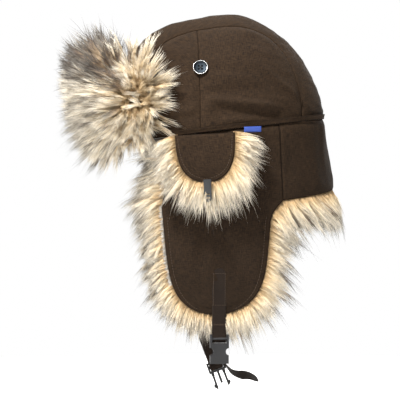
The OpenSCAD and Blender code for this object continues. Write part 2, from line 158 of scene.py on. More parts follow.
# ---- Mesh helpers
def mesh_object(name, points, quads, triangles=None, smooth=True):
    """A mesh from arrays of points in millimetres, quads and triangles."""
    quads = np.asarray(quads, np.int32).reshape(-1, 4)
    triangles = np.asarray(triangles if triangles is not None else [], np.int32).reshape(-1, 3)
    mesh = bpy.data.meshes.new(name)
    mesh.vertices.add(len(points))
    mesh.vertices.foreach_set("co", (np.asarray(points, float) * MM).astype(np.float32).ravel())
    loops = np.concatenate([quads.ravel(), triangles.ravel()])
    mesh.loops.add(len(loops))
    mesh.loops.foreach_set("vertex_index", loops)
    starts = np.concatenate([
        np.arange(len(quads)) * 4,
        len(quads) * 4 + np.arange(len(triangles)) * 3,
    ]).astype(np.int32)
    mesh.polygons.add(len(starts))
    mesh.polygons.foreach_set("loop_start", starts)
    mesh.update(calc_edges=True)
    mesh.polygons.foreach_set("use_smooth", np.full(len(starts), smooth))
    mesh.validate()
    obj = bpy.data.objects.new(name, mesh)
    bpy.context.scene.collection.objects.link(obj)
    return obj


def grid_normals(grid):
    """Unit normals of a grid of points, which point away from the grid's left-handed side."""
    down = np.gradient(grid, axis=0)
    across = np.gradient(grid, axis=1)
    return unit(np.cross(down, across))


def border_points(grid):
    return np.concatenate([grid[0], grid[-1], grid[:, 0], grid[:, -1]])


def distance_to(points, targets):
    """Distance of each point to the nearest of the target points."""
    flat = points.reshape(-1, 3)
    best = np.full(len(flat), 1e9)
    for start in range(0, len(targets), 64):
        part = targets[start:start + 64]
        gap = np.linalg.norm(flat[:, None, :] - part[None, :, :], axis=2).min(1)
        best = np.minimum(best, gap)
    return best.reshape(points.shape[:-1])


def soft_noise(points, scale, seed, octaves=2):
    """Smooth noise from -1 to 1 over points in millimetres, with features about scale wide."""
    flat = points.reshape(-1, 3) / scale + np.array([seed * 7.31, seed * 3.17, seed * 5.71])
    values = [noise.fractal(Vector(p), 1.0, 2.0, octaves) for p in flat]
    return np.array(values).reshape(points.shape[:-1])


def arc_length(grid, axis):
    step = np.linalg.norm(np.diff(grid, axis=axis), axis=2)
    zero = np.zeros_like(np.take(grid[..., 0], [0], axis=axis))
    return np.concatenate([zero, np.cumsum(step, axis=axis)], axis=axis)


def add_uv(obj, name, per_point):
    """A UV map from one pair of numbers per point."""
    layer = obj.data.uv_layers.new(name=name)
    index = np.zeros(len(obj.data.loops), np.int32)
    obj.data.loops.foreach_get("vertex_index", index)
    layer.data.foreach_set("uv", per_point[index].astype(np.float32).ravel())


def add_value(obj, name, per_point):
    layer = obj.data.attributes.new(name, "FLOAT", "POINT")
    layer.data.foreach_set("value", np.asarray(per_point, np.float32).ravel())


def cloth_shell(name, grid, thickness, hem=0.7, seam=0.0):
    """A closed layer of cloth: grid is its outer face, and its edges are rounded over hem.

    seam above 0 keeps the painted shade along its edges weaker.
    """
    normals = grid_normals(grid)
    edge = distance_to(grid, border_points(grid))
    lift = np.sqrt(np.clip(1.0 - (1.0 - np.clip(edge / hem, 0, 1)) ** 2, 0, 1))
    middle = grid - normals * (thickness / 2)
    half = (thickness / 2) * (0.15 + 0.85 * lift)[..., None]
    outer = middle + normals * half
    inner = middle - normals * half
    rows, columns = grid.shape[:2]
    count = rows * columns
    index = np.arange(count).reshape(rows, columns)
    a, b = index[:-1, :-1].ravel(), index[:-1, 1:].ravel()
    c, d = index[1:, 1:].ravel(), index[1:, :-1].ravel()
    front = np.stack([a, d, c, b], 1)
    back = np.stack([b, c, d, a], 1) + count
    ring = np.concatenate([index[0, :-1], index[:-1, -1], index[-1, :0:-1], index[:0:-1, 0]])
    follow = np.roll(ring, -1)
    rim = np.stack([ring, follow, follow + count, ring + count], 1)
    points = np.concatenate([outer.reshape(-1, 3), inner.reshape(-1, 3)])
    obj = mesh_object(name, points, np.concatenate([front, back, rim]))
    metric = np.stack([arc_length(grid, 1), arc_length(grid, 0)], -1).reshape(-1, 2)
    add_uv(obj, "weave", np.concatenate([metric, metric + 3.0]) / 100.0)
    # edge, the distance to the border, becomes painted seam shade and a painted highlight in the cloth
    # material
    edge_value = np.clip(edge.ravel() / 10.0, seam, 1)
    add_value(obj, "edge", np.concatenate([edge_value, edge_value]))
    return obj


def ride(obj, body, slot, *nodes):
    """The piece rides on a body and stands for some CAD nodes, which it hides; slot is not used."""
    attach(obj, body)
    if nodes:
        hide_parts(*nodes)
    return obj


SIDES = ("left", "right")


def on_side(grid, side):
    """A grid of the left side, or its mirror image with its faces still outwards."""
    return grid if side == "left" else (grid * np.array([-1.0, 1.0, 1.0]))[:, ::-1]


LEAST_CUT = 0.0105
LEAST_SHARE = 0.31


def declare_sheet(grid):
    """Works out the sheet's longest lines across and down and its own area, but keeps none of them."""
    wide = max(arc_length(grid, 1)[:, -1].max() * MM, LEAST_CUT)
    long = max(arc_length(grid, 0)[-1].max() * MM, LEAST_CUT)
    first = grid[1:, 1:] - grid[:-1, :-1]
    second = grid[1:, :-1] - grid[:-1, 1:]
    area = 0.5 * np.linalg.norm(np.cross(first, second), axis=2).sum() * MM * MM
    area = min(max(area, LEAST_SHARE * wide * long), wide * long)


def lay_cloth(name, grid, thickness, finish, held, rests_on, *nodes, **edges):
    """A sheet of cloth on one body. finish is its material, its body and its slot."""
    material, body, slot = finish
    piece = cloth_shell(name, grid, thickness, **edges)
    paint(piece, material)
    ride(piece, body, slot, *nodes)
    declare_sheet(grid)
    return piece


# ---- Material helpers
def srgb(hex_text):
    """Linear colour of a hexadecimal sRGB one."""
    values = [int(hex_text[i:i + 2], 16) / 255.0 for i in (0, 2, 4)]
    linear = [v / 12.92 if v <= 0.04045 else ((v + 0.055) / 1.055) ** 2.4 for v in values]
    return (*linear, 1.0)


class Tree:
    """A short way to write a node tree."""

    def __init__(self, name, roughness=0.6, specular=0.4, sheen=0.0, coat=0.0):
        self.material = bpy.data.materials.new(name)
        self.material.use_nodes = True
        self.tree = self.material.node_tree
        self.shader = self.tree.nodes["Principled BSDF"]
        self.set("Roughness", roughness)
        self.set("Specular IOR Level", specular)
        self.set("Sheen Weight", sheen)
        self.set("Coat Weight", coat)

    def set(self, socket, value):
        self.shader.inputs[socket].default_value = value

    def node(self, kind, inputs=None, **settings):
        made = self.tree.nodes.new(kind)
        for key, value in settings.items():
            setattr(made, key, value)
        for key, value in (inputs or {}).items():
            if isinstance(value, bpy.types.NodeSocket):
                self.tree.links.new(value, made.inputs[key])
            else:
                made.inputs[key].default_value = value
        return made

    def math(self, operation, a, b=0.0, c=0.0):
        return self.node("ShaderNodeMath", {0: a, 1: b, 2: c}, operation=operation).outputs[0]

    def position(self):
        return self.node("ShaderNodeTexCoord").outputs["Object"]

    def uv(self, name):
        pair = self.node("ShaderNodeUVMap", uv_map=name).outputs[0]
        split = self.node("ShaderNodeSeparateXYZ", {0: pair})
        return split.outputs[0], split.outputs[1]

    def noise(self, scale, detail=3.0, stretch=None, vector=None):
        source = vector or self.position()
        if stretch is not None:
            source = self.node("ShaderNodeMapping", {"Vector": source, "Scale": stretch}).outputs[0]
        made = self.node("ShaderNodeTexNoise", {"Vector": source, "Scale": scale, "Detail": detail})
        return made.outputs["Fac"]

    def ramp(self, value, stops):
        made = self.node("ShaderNodeValToRGB", {0: value})
        elements = made.color_ramp.elements
        for i, (place, colour) in enumerate(stops):
            element = elements[i] if i < 2 else elements.new(place)
            element.position = place
            element.color = colour
        return made.outputs[0]

    def mix(self, factor, a, b, blend="MIX"):
        made = self.tree.nodes.new("ShaderNodeMix")
        made.data_type = "RGBA"
        made.blend_type = blend
        made.clamp_factor = True
        for socket, value in ((made.inputs[0], factor), (made.inputs[6], a), (made.inputs[7], b)):
            if isinstance(value, bpy.types.NodeSocket):
                self.tree.links.new(value, socket)
            else:
                socket.default_value = value
        return made.outputs[2]

    def colour(self, source):
        self.tree.links.new(source, self.shader.inputs["Base Color"])

    def rough(self, value, low, high):
        made = self.node("ShaderNodeMapRange", {0: value, 3: low, 4: high})
        self.tree.links.new(made.outputs[0], self.shader.inputs["Roughness"])

    def bump(self, height, distance, strength=1.0):
        values = {"Height": height, "Distance": distance, "Strength": strength}
        made = self.node("ShaderNodeBump", values)
        self.tree.links.new(made.outputs[0], self.shader.inputs["Normal"])


def grey(value):
    return (value, value, value, 1.0)


def woven_height(tree, pitch):
    """Over and under of a plain weave on the weave map, whose unit is 100 mm."""
    u, v = tree.uv("weave")
    turns = 2.0 * math.pi * 100.0 / pitch
    across = tree.math("SINE", tree.math("MULTIPLY", u, turns))
    along = tree.math("SINE", tree.math("MULTIPLY", v, turns))
    over = tree.math("MULTIPLY", across, along)
    return tree.math("MULTIPLY_ADD", over, 0.5, 0.5)


def yarn_slubs(tree):
    """Thick and thin places along the yarns of both directions."""
    u, v = tree.uv("weave")
    pair = tree.node("ShaderNodeCombineXYZ", {0: u, 1: v}).outputs[0]
    weft = tree.noise(17.0, 3.0, (1.0, 7.0, 1.0), pair)
    warp = tree.noise(17.0, 3.0, (7.0, 1.0, 1.0), pair)
    return tree.math("MULTIPLY_ADD", weft, 0.5, tree.math("MULTIPLY", warp, 0.5))


def cloth_material(name, dark, light, pitch=1.5):
    """Densely woven cotton canvas with slubs, with painted shade in its seams and a painted highlight in a
    strip beside them.
    """
    tree = Tree(name, 0.85, 0.1, sheen=0.03)
    tree.set("Sheen Roughness", 0.5)
    tree.set("Sheen Tint", srgb("a08a70"))
    slubs = yarn_slubs(tree)
    base = tree.ramp(slubs, [(0.36, srgb(dark)), (0.66, srgb(light))])
    weave = woven_height(tree, pitch)
    shade = tree.ramp(weave, [(0.0, grey(0.72)), (1.0, grey(1.16))])
    base = tree.mix(0.8, base, shade, "MULTIPLY")
    cloudy = tree.ramp(tree.noise(16.0, 4.0), [(0.3, (0.84, 0.83, 0.82, 1)), (0.7, grey(1.12))])
    base = tree.mix(0.9, base, cloudy, "MULTIPLY")
    edge = tree.node("ShaderNodeAttribute", attribute_name="edge").outputs["Fac"]
    # Painted shade darkens the seams, and a painted highlight lightens a narrow strip beside them
    seam = tree.ramp(edge, [
        (0.0, (0.36, 0.35, 0.34, 1)), (0.055, grey(0.6)), (0.13, (1.1, 1.09, 1.08, 1)),
        (0.45, grey(1.0)),
    ])
    base = tree.mix(1.0, base, seam, "MULTIPLY")
    # Painted shade: the cloth's colour darkens towards the bottom of the hat
    height_up = tree.node("ShaderNodeSeparateXYZ", {0: tree.position()}).outputs[2]
    above = tree.math("MULTIPLY_ADD", height_up, 5.0, 0.8)
    painted_shade_below = tree.ramp(above, [(0.0, grey(0.66)), (0.45, grey(0.78)), (0.9, grey(1.0))])
    tree.colour(tree.mix(1.0, base, painted_shade_below, "MULTIPLY"))
    tree.rough(slubs, 0.74, 0.94)
    height = tree.math("MULTIPLY_ADD", weave, 0.5, tree.math("MULTIPLY", slubs, 1.3))
    tree.bump(height, 0.0006, 0.8)
    return tree.material


def satin_material():
    tree = Tree("quilted_satin", 0.4, 0.5, sheen=0.2)
    fine = tree.noise(900.0, 2.0, (1.0, 6.0, 1.0))
    base = tree.ramp(tree.noise(9.0, 3.0), [(0.3, srgb("2c221b")), (0.7, srgb("43352a"))])
    tree.colour(base)
    tree.rough(fine, 0.3, 0.5)
    tree.bump(fine, 0.0001, 0.4)
    return tree.material


def wadding_material():
    tree = Tree("fibre_wadding", 0.95, 0.1)
    fibres = tree.noise(260.0, 5.0)
    tree.colour(tree.ramp(fibres, [(0.3, srgb("b9b2a6")), (0.7, srgb("e6e1d8"))]))
    tree.bump(fibres, 0.0008)
    return tree.material


def webbing_material():
    """Ribbed strap: crosswise ribs every 1.3 mm and a herringbone of fine yarns."""
    tree = Tree("brown_webbing", 0.8, 0.12, sheen=0.02)
    u, v = tree.uv("weave")
    ribs = tree.math("SINE", tree.math("MULTIPLY", v, 2.0 * math.pi * 100.0 / 1.3))
    yarns = tree.math("SINE", tree.math("MULTIPLY", u, 2.0 * math.pi * 100.0 / 1.0))
    height = tree.math("MULTIPLY_ADD", tree.math("MULTIPLY", ribs, yarns), 0.5, 0.5)
    base = tree.ramp(height, [(0.0, srgb("110c08")), (1.0, srgb("2b2018"))])
    cloudy = tree.ramp(tree.noise(60.0, 3.0), [(0.3, grey(0.85)), (0.7, grey(1.1))])
    tree.colour(tree.mix(0.8, base, cloudy, "MULTIPLY"))
    tree.rough(height, 0.85, 0.65)
    tree.bump(height, 0.0005)
    return tree.material


def thread_material(name, dark, light):
    tree = Tree(name, 0.6, 0.3)
    twist = tree.noise(1500.0, 2.0, (1.0, 1.0, 3.0))
    tree.colour(tree.ramp(twist, [(0.3, srgb(dark)), (0.7, srgb(light))]))
    tree.bump(twist, 0.0002)
    return tree.material


def plastic_material(name, dark, light, roughness):
    """Moulded acetal or rubber: fine spark texture with rubbed high spots."""
    tree = Tree(name, roughness, 0.5)
    spark = tree.noise(1400.0, 3.0)
    smear = tree.noise(70.0, 4.0)
    tree.colour(tree.ramp(smear, [(0.35, srgb(dark)), (0.75, srgb(light))]))
    tree.rough(smear, roughness - 0.1, roughness + 0.15)
    tree.bump(spark, 0.00012, 0.5)
    return tree.material


def metal_material(name, dark, light, roughness):
    tree = Tree(name, roughness, 0.5)
    tree.set("Metallic", 1.0)
    brushed = tree.noise(500.0, 3.0, (1.0, 1.0, 4.0))
    tree.colour(tree.ramp(brushed, [(0.3, srgb(dark)), (0.7, srgb(light))]))
    tree.rough(brushed, roughness - 0.08, roughness + 0.12)
    tree.bump(brushed, 0.00005, 0.4)
    return tree.material


def tag_material():
    """Plain woven ribbon of one blue, with a ribbed face."""
    tree = Tree("plain_blue_ribbon", 0.6, 0.3)
    v = tree.uv("weave")[1]
    ribs = tree.math("SINE", tree.math("MULTIPLY", v, 2.0 * math.pi * 100.0 / 0.7))
    height = tree.math("MULTIPLY_ADD", ribs, 0.5, 0.5)
    tree.colour(tree.ramp(height, [(0.0, srgb("22377c")), (1.0, srgb("3c5ab0"))]))
    tree.bump(height, 0.0002)
    return tree.material


BANDS = 4


def fur_material(name, pale, dark):
    """Fur whose colour runs from root to tip along v.

    u holds a band of lightness and, within it, darkness.
    """
    tree = Tree(name, 0.5, 0.3)
    u, v = tree.uv("OFBake")
    bands = tree.math("MULTIPLY", u, float(BANDS))
    darkness = tree.math("FRACT", bands)
    band = tree.math("FLOOR", bands)
    base = tree.mix(darkness, tree.ramp(v, pale), tree.ramp(v, dark))
    value = tree.math("MULTIPLY_ADD", band, 0.09, 0.84)
    level = tree.node("ShaderNodeCombineXYZ", {0: value, 1: value, 2: value}).outputs[0]
    tree.colour(tree.mix(1.0, base, level, "MULTIPLY"))
    return tree.material


def undercoat_material():
    """Dense short fibres between the roots of the pile."""
    tree = Tree("fur_undercoat", 0.9, 0.1)
    tufts = tree.noise(120.0, 5.0)
    broad = tree.noise(30.0, 3.0)
    base = tree.ramp(tufts, [(0.3, srgb("a48b70")), (0.5, srgb("cbb396")), (0.72, srgb("e4d2b6"))])
    shade = tree.ramp(broad, [(0.3, (0.8, 0.78, 0.76, 1)), (0.7, grey(1.1))])
    tree.colour(tree.mix(0.9, base, shade, "MULTIPLY"))
    tree.bump(tufts, 0.002)
    return tree.material


def floor_material():
    tree = Tree("pale_floor", 0.8, 0.1)
    tree.colour(tree.ramp(tree.noise(3.0, 2.0), [(0.0, grey(0.93)), (1.0, grey(0.96))]))
    return tree.material


def paint(obj, material):
    obj.data.materials.clear()
    obj.data.materials.append(material)
    return obj


# ---- Stage
CAMERA_TARGET = Vector((0.0, -0.0275, -0.076))
CAMERA_AWAY = 2.44
FIELD_WIDTH = 0.44
SENSOR_WIDTH = 36.0


def make_camera():
    """The photograph's view: from the wearer's left, a little ahead of square."""
    azimuth = math.radians(85.0)
    rise = math.radians(0.5)
    target = CAMERA_TARGET
    level = math.cos(rise)
    offset = Vector((math.sin(azimuth) * level, -math.cos(azimuth) * level, math.sin(rise)))
    data = bpy.data.cameras.new("camera")
    data.sensor_width = SENSOR_WIDTH
    data.lens = SENSOR_WIDTH * CAMERA_AWAY / FIELD_WIDTH
    camera = bpy.data.objects.new("camera", data)
    camera.location = target + offset * CAMERA_AWAY
    camera.rotation_euler = (target - camera.location).to_track_quat("-Z", "Y").to_euler()
    bpy.context.scene.collection.objects.link(camera)
    bpy.context.scene.camera = camera


def area_light(name, place, target, size, power, colour=(1.0, 1.0, 1.0)):
    data = bpy.data.lights.new(name, "AREA")
    data.shape = "DISK"
    data.size = size
    data.energy = power
    data.color = colour
    lamp = bpy.data.objects.new(name, data)
    lamp.location = place
    lamp.rotation_euler = (Vector(target) - Vector(place)).to_track_quat("-Z", "Y").to_euler()
    bpy.context.scene.collection.objects.link(lamp)


AMBIENT = 0.38
FLOOR_DROP = 26.0
FLOOR_RADIUS = 900.0
FLOOR_SIDES = 96


def make_stage():
    """A white studio: the camera sees plain white, and the hat is lit from above and all round."""
    bpy.context.scene.view_settings.view_transform = "Standard"
    world = bpy.data.worlds.new("studio")
    bpy.context.scene.world = world
    world.use_nodes = True
    nodes = world.node_tree.nodes
    links = world.node_tree.links
    around = nodes["Background"]
    around.inputs[0].default_value = (1.0, 1.0, 1.0, 1.0)
    around.inputs[1].default_value = AMBIENT
    seen = nodes.new("ShaderNodeBackground")
    seen.inputs[0].default_value = (1.0, 1.0, 1.0, 1.0)
    path = nodes.new("ShaderNodeLightPath")
    either = nodes.new("ShaderNodeMixShader")
    links.new(path.outputs["Is Camera Ray"], either.inputs[0])
    links.new(around.outputs[0], either.inputs[1])
    links.new(seen.outputs[0], either.inputs[2])
    links.new(either.outputs[0], nodes["World Output"].inputs[0])
    area_light("key", (1.25, -1.0, 2.4), (0, 0, -0.05), 0.45, 190.0, (1.0, 0.985, 0.96))
    area_light("front", (2.2, -1.6, 0.9), (0, 0, -0.05), 1.6, 26.0)
    area_light("top", (-0.9, 0.5, 2.3), (0, 0, 0), 1.4, 40.0)
    area_light("back", (-2.0, 1.0, 0.8), (0, 0, -0.05), 1.5, 26.0)
    level = cad_box[0][2] / MM - FLOOR_DROP
    turns = np.linspace(0, 2 * math.pi, FLOOR_SIDES + 1)[:-1]
    ring = [[math.cos(a) * FLOOR_RADIUS, math.sin(a) * FLOOR_RADIUS, level] for a in turns]
    points = np.array(ring + [[0.0, 0.0, level]])
    triangles = [[FLOOR_SIDES, i, (i + 1) % FLOOR_SIDES] for i in range(FLOOR_SIDES)]
    floor = mesh_object("floor", points, [], triangles, smooth=False)
    paint(floor, floor_material())


make_camera()
make_stage()

CANVAS = cloth_material("brown_canvas", "19120c", "3c2d1f")
SATIN = satin_material()
WADDING = wadding_material()
WEBBING = webbing_material()
THREAD = thread_material("brown_thread", "2c221a", "5c4a3a")
BLACK_THREAD = thread_material("black_thread", "0f0e0e", "2a2826")
BUCKLE = plastic_material("black_acetal", "08080a", "141416", 0.45)
RUBBER = plastic_material("black_rubber", "0e0f10", "202224", 0.55)
BOARD = plastic_material("visor_board_sheet", "1a1a1a", "2c2c2c", 0.6)
BUTTON = metal_material("button_metal", "1f2429", "363d44", 0.5)
BUTTON_RIM = metal_material("button_rim_metal", "d5d8da", "f4f5f5", 0.2)
TAG = tag_material()
FUR = fur_material(
    "long_pile",
    [(0.0, srgb("a0835f")), (0.2, srgb("cfb184")), (0.42, srgb("efdcb8")), (1.0, srgb("fbf4e6"))],
    [
        (0.0, srgb("7d6348")), (0.3, srgb("b59a7a")), (0.46, srgb("b8a288")),
        (0.6, srgb("6d5a50")), (0.74, srgb("2c2423")), (1.0, srgb("141112")),
    ],
)
FLEECE = fur_material(
    "short_fleece",
    [(0.0, srgb("9a948c")), (0.5, srgb("cfc9c0")), (1.0, srgb("e2ddd6"))],
    [(0.0, srgb("8b857d")), (0.5, srgb("b5afa6")), (1.0, srgb("8b857d"))],
)
UNDERCOAT = undercoat_material()


def between(at, along, values):
    """Rows of values, which lie at the places along, read at other places."""
    return np.stack([np.interp(at, along, values[:, k]) for k in range(values.shape[1])], 1)


# ---- Stitches: short bent capsules that sit in the cloth
def stitches(name, lines, body, material=THREAD, slot="thread", pitch=3.2, length=2.4, radius=0.3):
    """One mesh of stitches along each (points, normals) line."""
    sides = 6
    profile = [
        (-0.5, 0.0, -0.5), (-0.42, 0.8, 0.1), (-0.2, 1.0, 0.5),
        (0.2, 1.0, 0.5), (0.42, 0.8, 0.1), (0.5, 0.0, -0.5),
    ]
    all_points = []
    all_quads = []
    for points, normals in lines:
        steps = np.linalg.norm(np.diff(points, axis=0), axis=1)
        along = np.concatenate([[0.0], np.cumsum(steps)])
        count = int(along[-1] // pitch)
        if count < 1:
            continue
        middles = (np.arange(count) + 0.5) * (along[-1] / count)
        place = between(middles, along, points)
        normal = unit(between(middles, along, normals))
        tangent = unit(between(middles + 0.6, along, points) - between(middles - 0.6, along, points))
        side = unit(np.cross(tangent, normal))
        for i in range(count):
            base = len(all_points)
            for place_along, width, rise in profile:
                centre = place[i] + tangent[i] * (place_along * length) + normal[i] * (rise * radius)
                for k in range(sides):
                    angle = 2 * math.pi * k / sides
                    reach = side[i] * math.cos(angle) + normal[i] * math.sin(angle)
                    all_points.append(centre + reach * radius * max(width, 0.25))
            for r in range(len(profile) - 1):
                for k in range(sides):
                    a = base + r * sides + k
                    b = base + r * sides + (k + 1) % sides
                    all_quads.append([a, b, b + sides, a + sides])
            last = base + (len(profile) - 1) * sides
            all_quads.append([base, base + 5, base + 4, base + 3])
            all_quads.append([base, base + 3, base + 2, base + 1])
            all_quads.append([last, last + 1, last + 2, last + 3])
            all_quads.append([last, last + 3, last + 4, last + 5])
    obj = mesh_object(name, np.array(all_points), all_quads)
    paint(obj, material)
    if body:
        ride(obj, body, slot)
    return obj


# ---- Crown
def slice_part(angle):
    return np.clip(-signed_power(np.cos(np.radians(angle)), 2.0 / 3.0), -0.999, 0.999)


def centre_half(v):
    """Half width of the centre panel, which spreads towards the nape."""
    return CENTRE_HALF_W + 2.0 * v + CENTRE_SPREAD * np.maximum(0.0, (v - 0.35) / 0.38) ** 2.2


def seam_turn(v):
    """Turn of the centre panel's seam, and 0 where it has met the rim."""
    reach = np.maximum(CROWN_HALF_W * arch(v, PLAN_POWER), 1e-6)
    return np.degrees(np.arccos(np.minimum(1.0, centre_half(v) / reach)))


def fold_line(grid, start, end, rise, slope, wide):
    """Height of one soft fold of the crown that runs back along the side, from start to end."""
    y = grid[..., 1]
    above = grid[..., 2] - (rise + slope * (y - start))
    along = smoothstep(start - 14.0, start + 8.0, y) * (1 - smoothstep(end - 14.0, end + 8.0, y))
    return np.exp(-((above / wide) ** 2)) * along


# Folds of the crown's side: height, start, end, rise, slope and width
FOLDS = (
    (1.7, -22.0, 50.0, 31.0, -0.10, 4.2),
    (-1.5, -8.0, 70.0, 19.0, -0.10, 4.6),
    (1.1, 0.0, 84.0, 11.0, -0.02, 3.0),
    (-0.9, -26.0, 36.0, 40.0, 0.06, 4.2),
    (0.8, 40.0, 84.0, 60.0, -0.8, 5.0),
    (-0.9, 44.0, 88.0, 50.0, -0.8, 4.0),
    (0.9, -70.0, -20.0, 16.0, 0.15, 4.5),
)


def crown_wrinkles(grid, seed):
    """Outward lift of the crown's cloth: soft folds, and a slack bulge above the band at the back."""
    low = soft_noise(grid, 50.0, seed)
    fine = soft_noise(grid * np.array([1.0, 0.5, 1.8]), 20.0, seed + 3)
    small = soft_noise(grid * np.array([1.0, 0.6, 1.4]), 9.0, seed + 5)
    folds = sum(height * fold_line(grid, *line) for height, *line in FOLDS)
    return 1.7 * low + 1.0 * fine + 0.4 * small + 3.0 * folds


def sewn(grid, seed, depth=0.75, puff=0.7):
    """Cloth sewn along its border: sunk in the seam and lifted by the wadding between seams."""
    edge = distance_to(grid, border_points(grid))
    # A soft floor keeps the deepest folds above the wadding
    wrinkles = crown_wrinkles(grid, seed) + 0.6
    wrinkles = 0.6 * np.logaddexp(0.0, (wrinkles + 0.5) / 0.6) - 0.5
    lift = wrinkles * smoothstep(0.0, 11.0, edge)
    lift = lift + puff * (1.0 - np.exp(-edge / 7.0)) - depth * np.exp(-((edge / 1.1) ** 2))
    pucker = 0.55 * soft_noise(grid, 8.0, seed + 9) * np.exp(-edge / 7.0) * smoothstep(0.2, 2.0, edge)
    return grid + grid_normals(grid) * (lift + pucker)[..., None]


def panel_grid(angles, turns_from, turns_to, columns, t=0.0):
    v = slice_part(angles)
    part = np.linspace(0.0, 1.0, columns)[None, :]
    start = turns_from(v)[:, None]
    end = turns_to(v)[:, None]
    turn = start + (end - start) * part
    return crown_point(np.repeat(v[:, None], columns, 1), turn, t)


def zero_turn(v):
    return np.zeros_like(v)


def tucked_turn(v):
    """The centre panel's edge, which goes a little way under the side panels."""
    return np.maximum(seam_turn(v) - 0.8, 0.0)


def eased(start, end, count):
    """Values from start to end, closer together at both ends."""
    return start + (end - start) * 0.5 * (1.0 - np.cos(np.linspace(0.0, math.pi, count)))


PANEL_SPLIT = 80.0
PANEL_LAP = 0.35


def make_crown():
    trial = np.linspace(0.0, 180.0, 3601)
    turned = trial[seam_turn(slice_part(trial)) > 2.5]
    start, split, end = turned[0], PANEL_SPLIT, turned[-1]
    brow, nape = np.linspace(0, start, 12)[:-1], np.linspace(end, 180, 30)[1:]
    angles = np.concatenate([brow, eased(start, end, 121), nape])
    centre = panel_grid(angles, tucked_turn, lambda v: 180.0 - tucked_turn(v), 71)
    centre = sewn(centre, 1)
    finish = (CANVAS, "hat_body", "outer_fabric")
    under = "crown_wadding_layer"
    lay_cloth("crown_cloth_center", centre, CLOTH_T, finish, "stretched", under, "crown_center_panel")
    for part, first, last, seed in (("front", start, split + PANEL_LAP, 2), ("back", split, end, 3)):
        grid = sewn(panel_grid(eased(first, last, 71), zero_turn, seam_turn, 53), seed)
        for side in SIDES:
            name, node = f"crown_cloth_{part}_{side}", f"crown_{part}_panel_{side}"
            lay_cloth(name, on_side(grid, side), CLOTH_T, finish, "stretched", under, node)


def quilted(grid, step, depth):
    """Lozenge quilting sewn down along two sets of lines."""
    u = arc_length(grid, 1)
    v = arc_length(grid, 0)
    first = np.abs(np.sin(math.pi * (u + v) / step))
    second = np.abs(np.sin(math.pi * (u - v) / step))
    lift = depth * np.minimum(first, second) ** 0.6
    return grid + grid_normals(grid) * lift[..., None]


def make_crown_inside():
    def full(v):
        return np.full_like(v, 180.0)
    wadding = panel_grid(np.linspace(0, 180, 91), zero_turn, full, 91, 3.2)
    piece = cloth_shell("crown_wadding_layer", quilted(wadding, 40.0, 0.5), 1.8)
    paint(piece, WADDING)
    ride(piece, "hat_body", "wadding", "crown_wadding")
    lining = quilted(panel_grid(np.linspace(0, 180, 91), zero_turn, full, 121, 4.7), 40.0, -0.8)
    finish = (SATIN, "hat_body", "satin_lining")
    lay_cloth("crown_satin_lining", lining, 0.9, finish, "stretched", "crown_wadding_layer", "crown_lining")


def band_grid(depth, low, high, rows, columns=181):
    turns = np.linspace(180.4, 539.6, columns)
    heights = np.linspace(high, low, rows)
    grid = np.zeros((rows, columns, 3))
    for r, height in enumerate(heights):
        y = wall_y(turns, depth)
        grid[r] = np.stack([wall_x(turns, depth), y, seam_height(wall_y(turns, 0.0)) + height], 1)
    return grid[:, ::-1]


def make_bands():
    """The topstitched band over the seam, its rows of stitches and the sweatband inside."""
    grid = band_grid(1.45, 0.0, 5.6, 9)
    above = np.linspace(1.0, 0.0, 9)[:, None]
    bulge = 0.2 * np.sin(math.pi * above) + 0.12 * soft_noise(grid, 12.0, 5)
    grid = grid + grid_normals(grid) * (bulge - 0.95 * above ** 1.5)[..., None]
    finish = (CANVAS, "hat_body", "outer_fabric")
    under = "crown_cloth_center"
    lay_cloth("seam_band_cloth", grid, 0.8, finish, "stretched", under, "seam_band", hem=0.5, seam=0.07)
    normals = grid_normals(grid)
    lines = [(grid[r] + normals[r] * 0.05, normals[r]) for r in (1, 7)]
    stitches("seam_band_stitches", lines, "hat_body", pitch=3.0, length=2.2, radius=0.2)
    inside = band_grid(SKIRT_STEP + 7.6, -3.0, 11.0, 9)
    swell = 0.7 * np.sin(math.pi * np.linspace(0, 1, 9))[:, None] + 0.2 * soft_noise(inside, 15.0, 8)
    inside = inside + grid_normals(inside) * (-swell)[..., None]
    finish = (SATIN, "hat_body", "satin_lining")
    lay_cloth("sweatband_cloth", inside, 1.6, finish, "stretched", "crown_satin_lining", "sweatband")


make_crown()
make_crown_inside()
make_bands()


# ---- Buttons
BUTTON_D = 16.5
BUTTON_Y = -33.0
BUTTON_Z = 65.0
BUTTON_STAND = 1.0


def button_frame():
    """Middle of the left button's back and its three axes: across, up and outwards."""
    v = np.array(BUTTON_Y / CROWN_FRONT)
    rise = float(CROWN_H * arch(v, BROW_POWER))
    side = float(CROWN_HALF_W * arch(v, PLAN_POWER))
    turn = math.asin((BUTTON_Z - SEAM_SLOPE * BUTTON_Y) / rise)
    place = np.array([side * math.cos(turn), BUTTON_Y, BUTTON_Z])
    tip = math.atan2(math.sin(turn) / rise, math.cos(turn) / side)
    yaw = math.radians(-5.0)
    flat = np.array([math.cos(tip), 0.0, math.sin(tip)])
    out = np.array([flat[0] * math.cos(yaw), flat[0] * math.sin(yaw), flat[2]])
    across = unit(np.cross(np.array([0.0, 0.0, 1.0]), out))
    up = np.cross(out, across)
    return place, across, up, out


def lathe(profile, segments, place, across, up, out):
    """Points and quads of a profile of (radius, height) turned about the out axis."""
    angles = np.linspace(0, 2 * math.pi, segments, endpoint=False)
    points = []
    for radius, height in profile:
        for a in angles:
            points.append(place + radius * (across * math.cos(a) + up * math.sin(a)) + out * height)
    quads = []
    for r in range(len(profile) - 1):
        for k in range(segments):
            a = r * segments + k
            b = r * segments + (k + 1) % segments
            quads.append([a, b, b + segments, a + segments])
    return np.array(points), quads


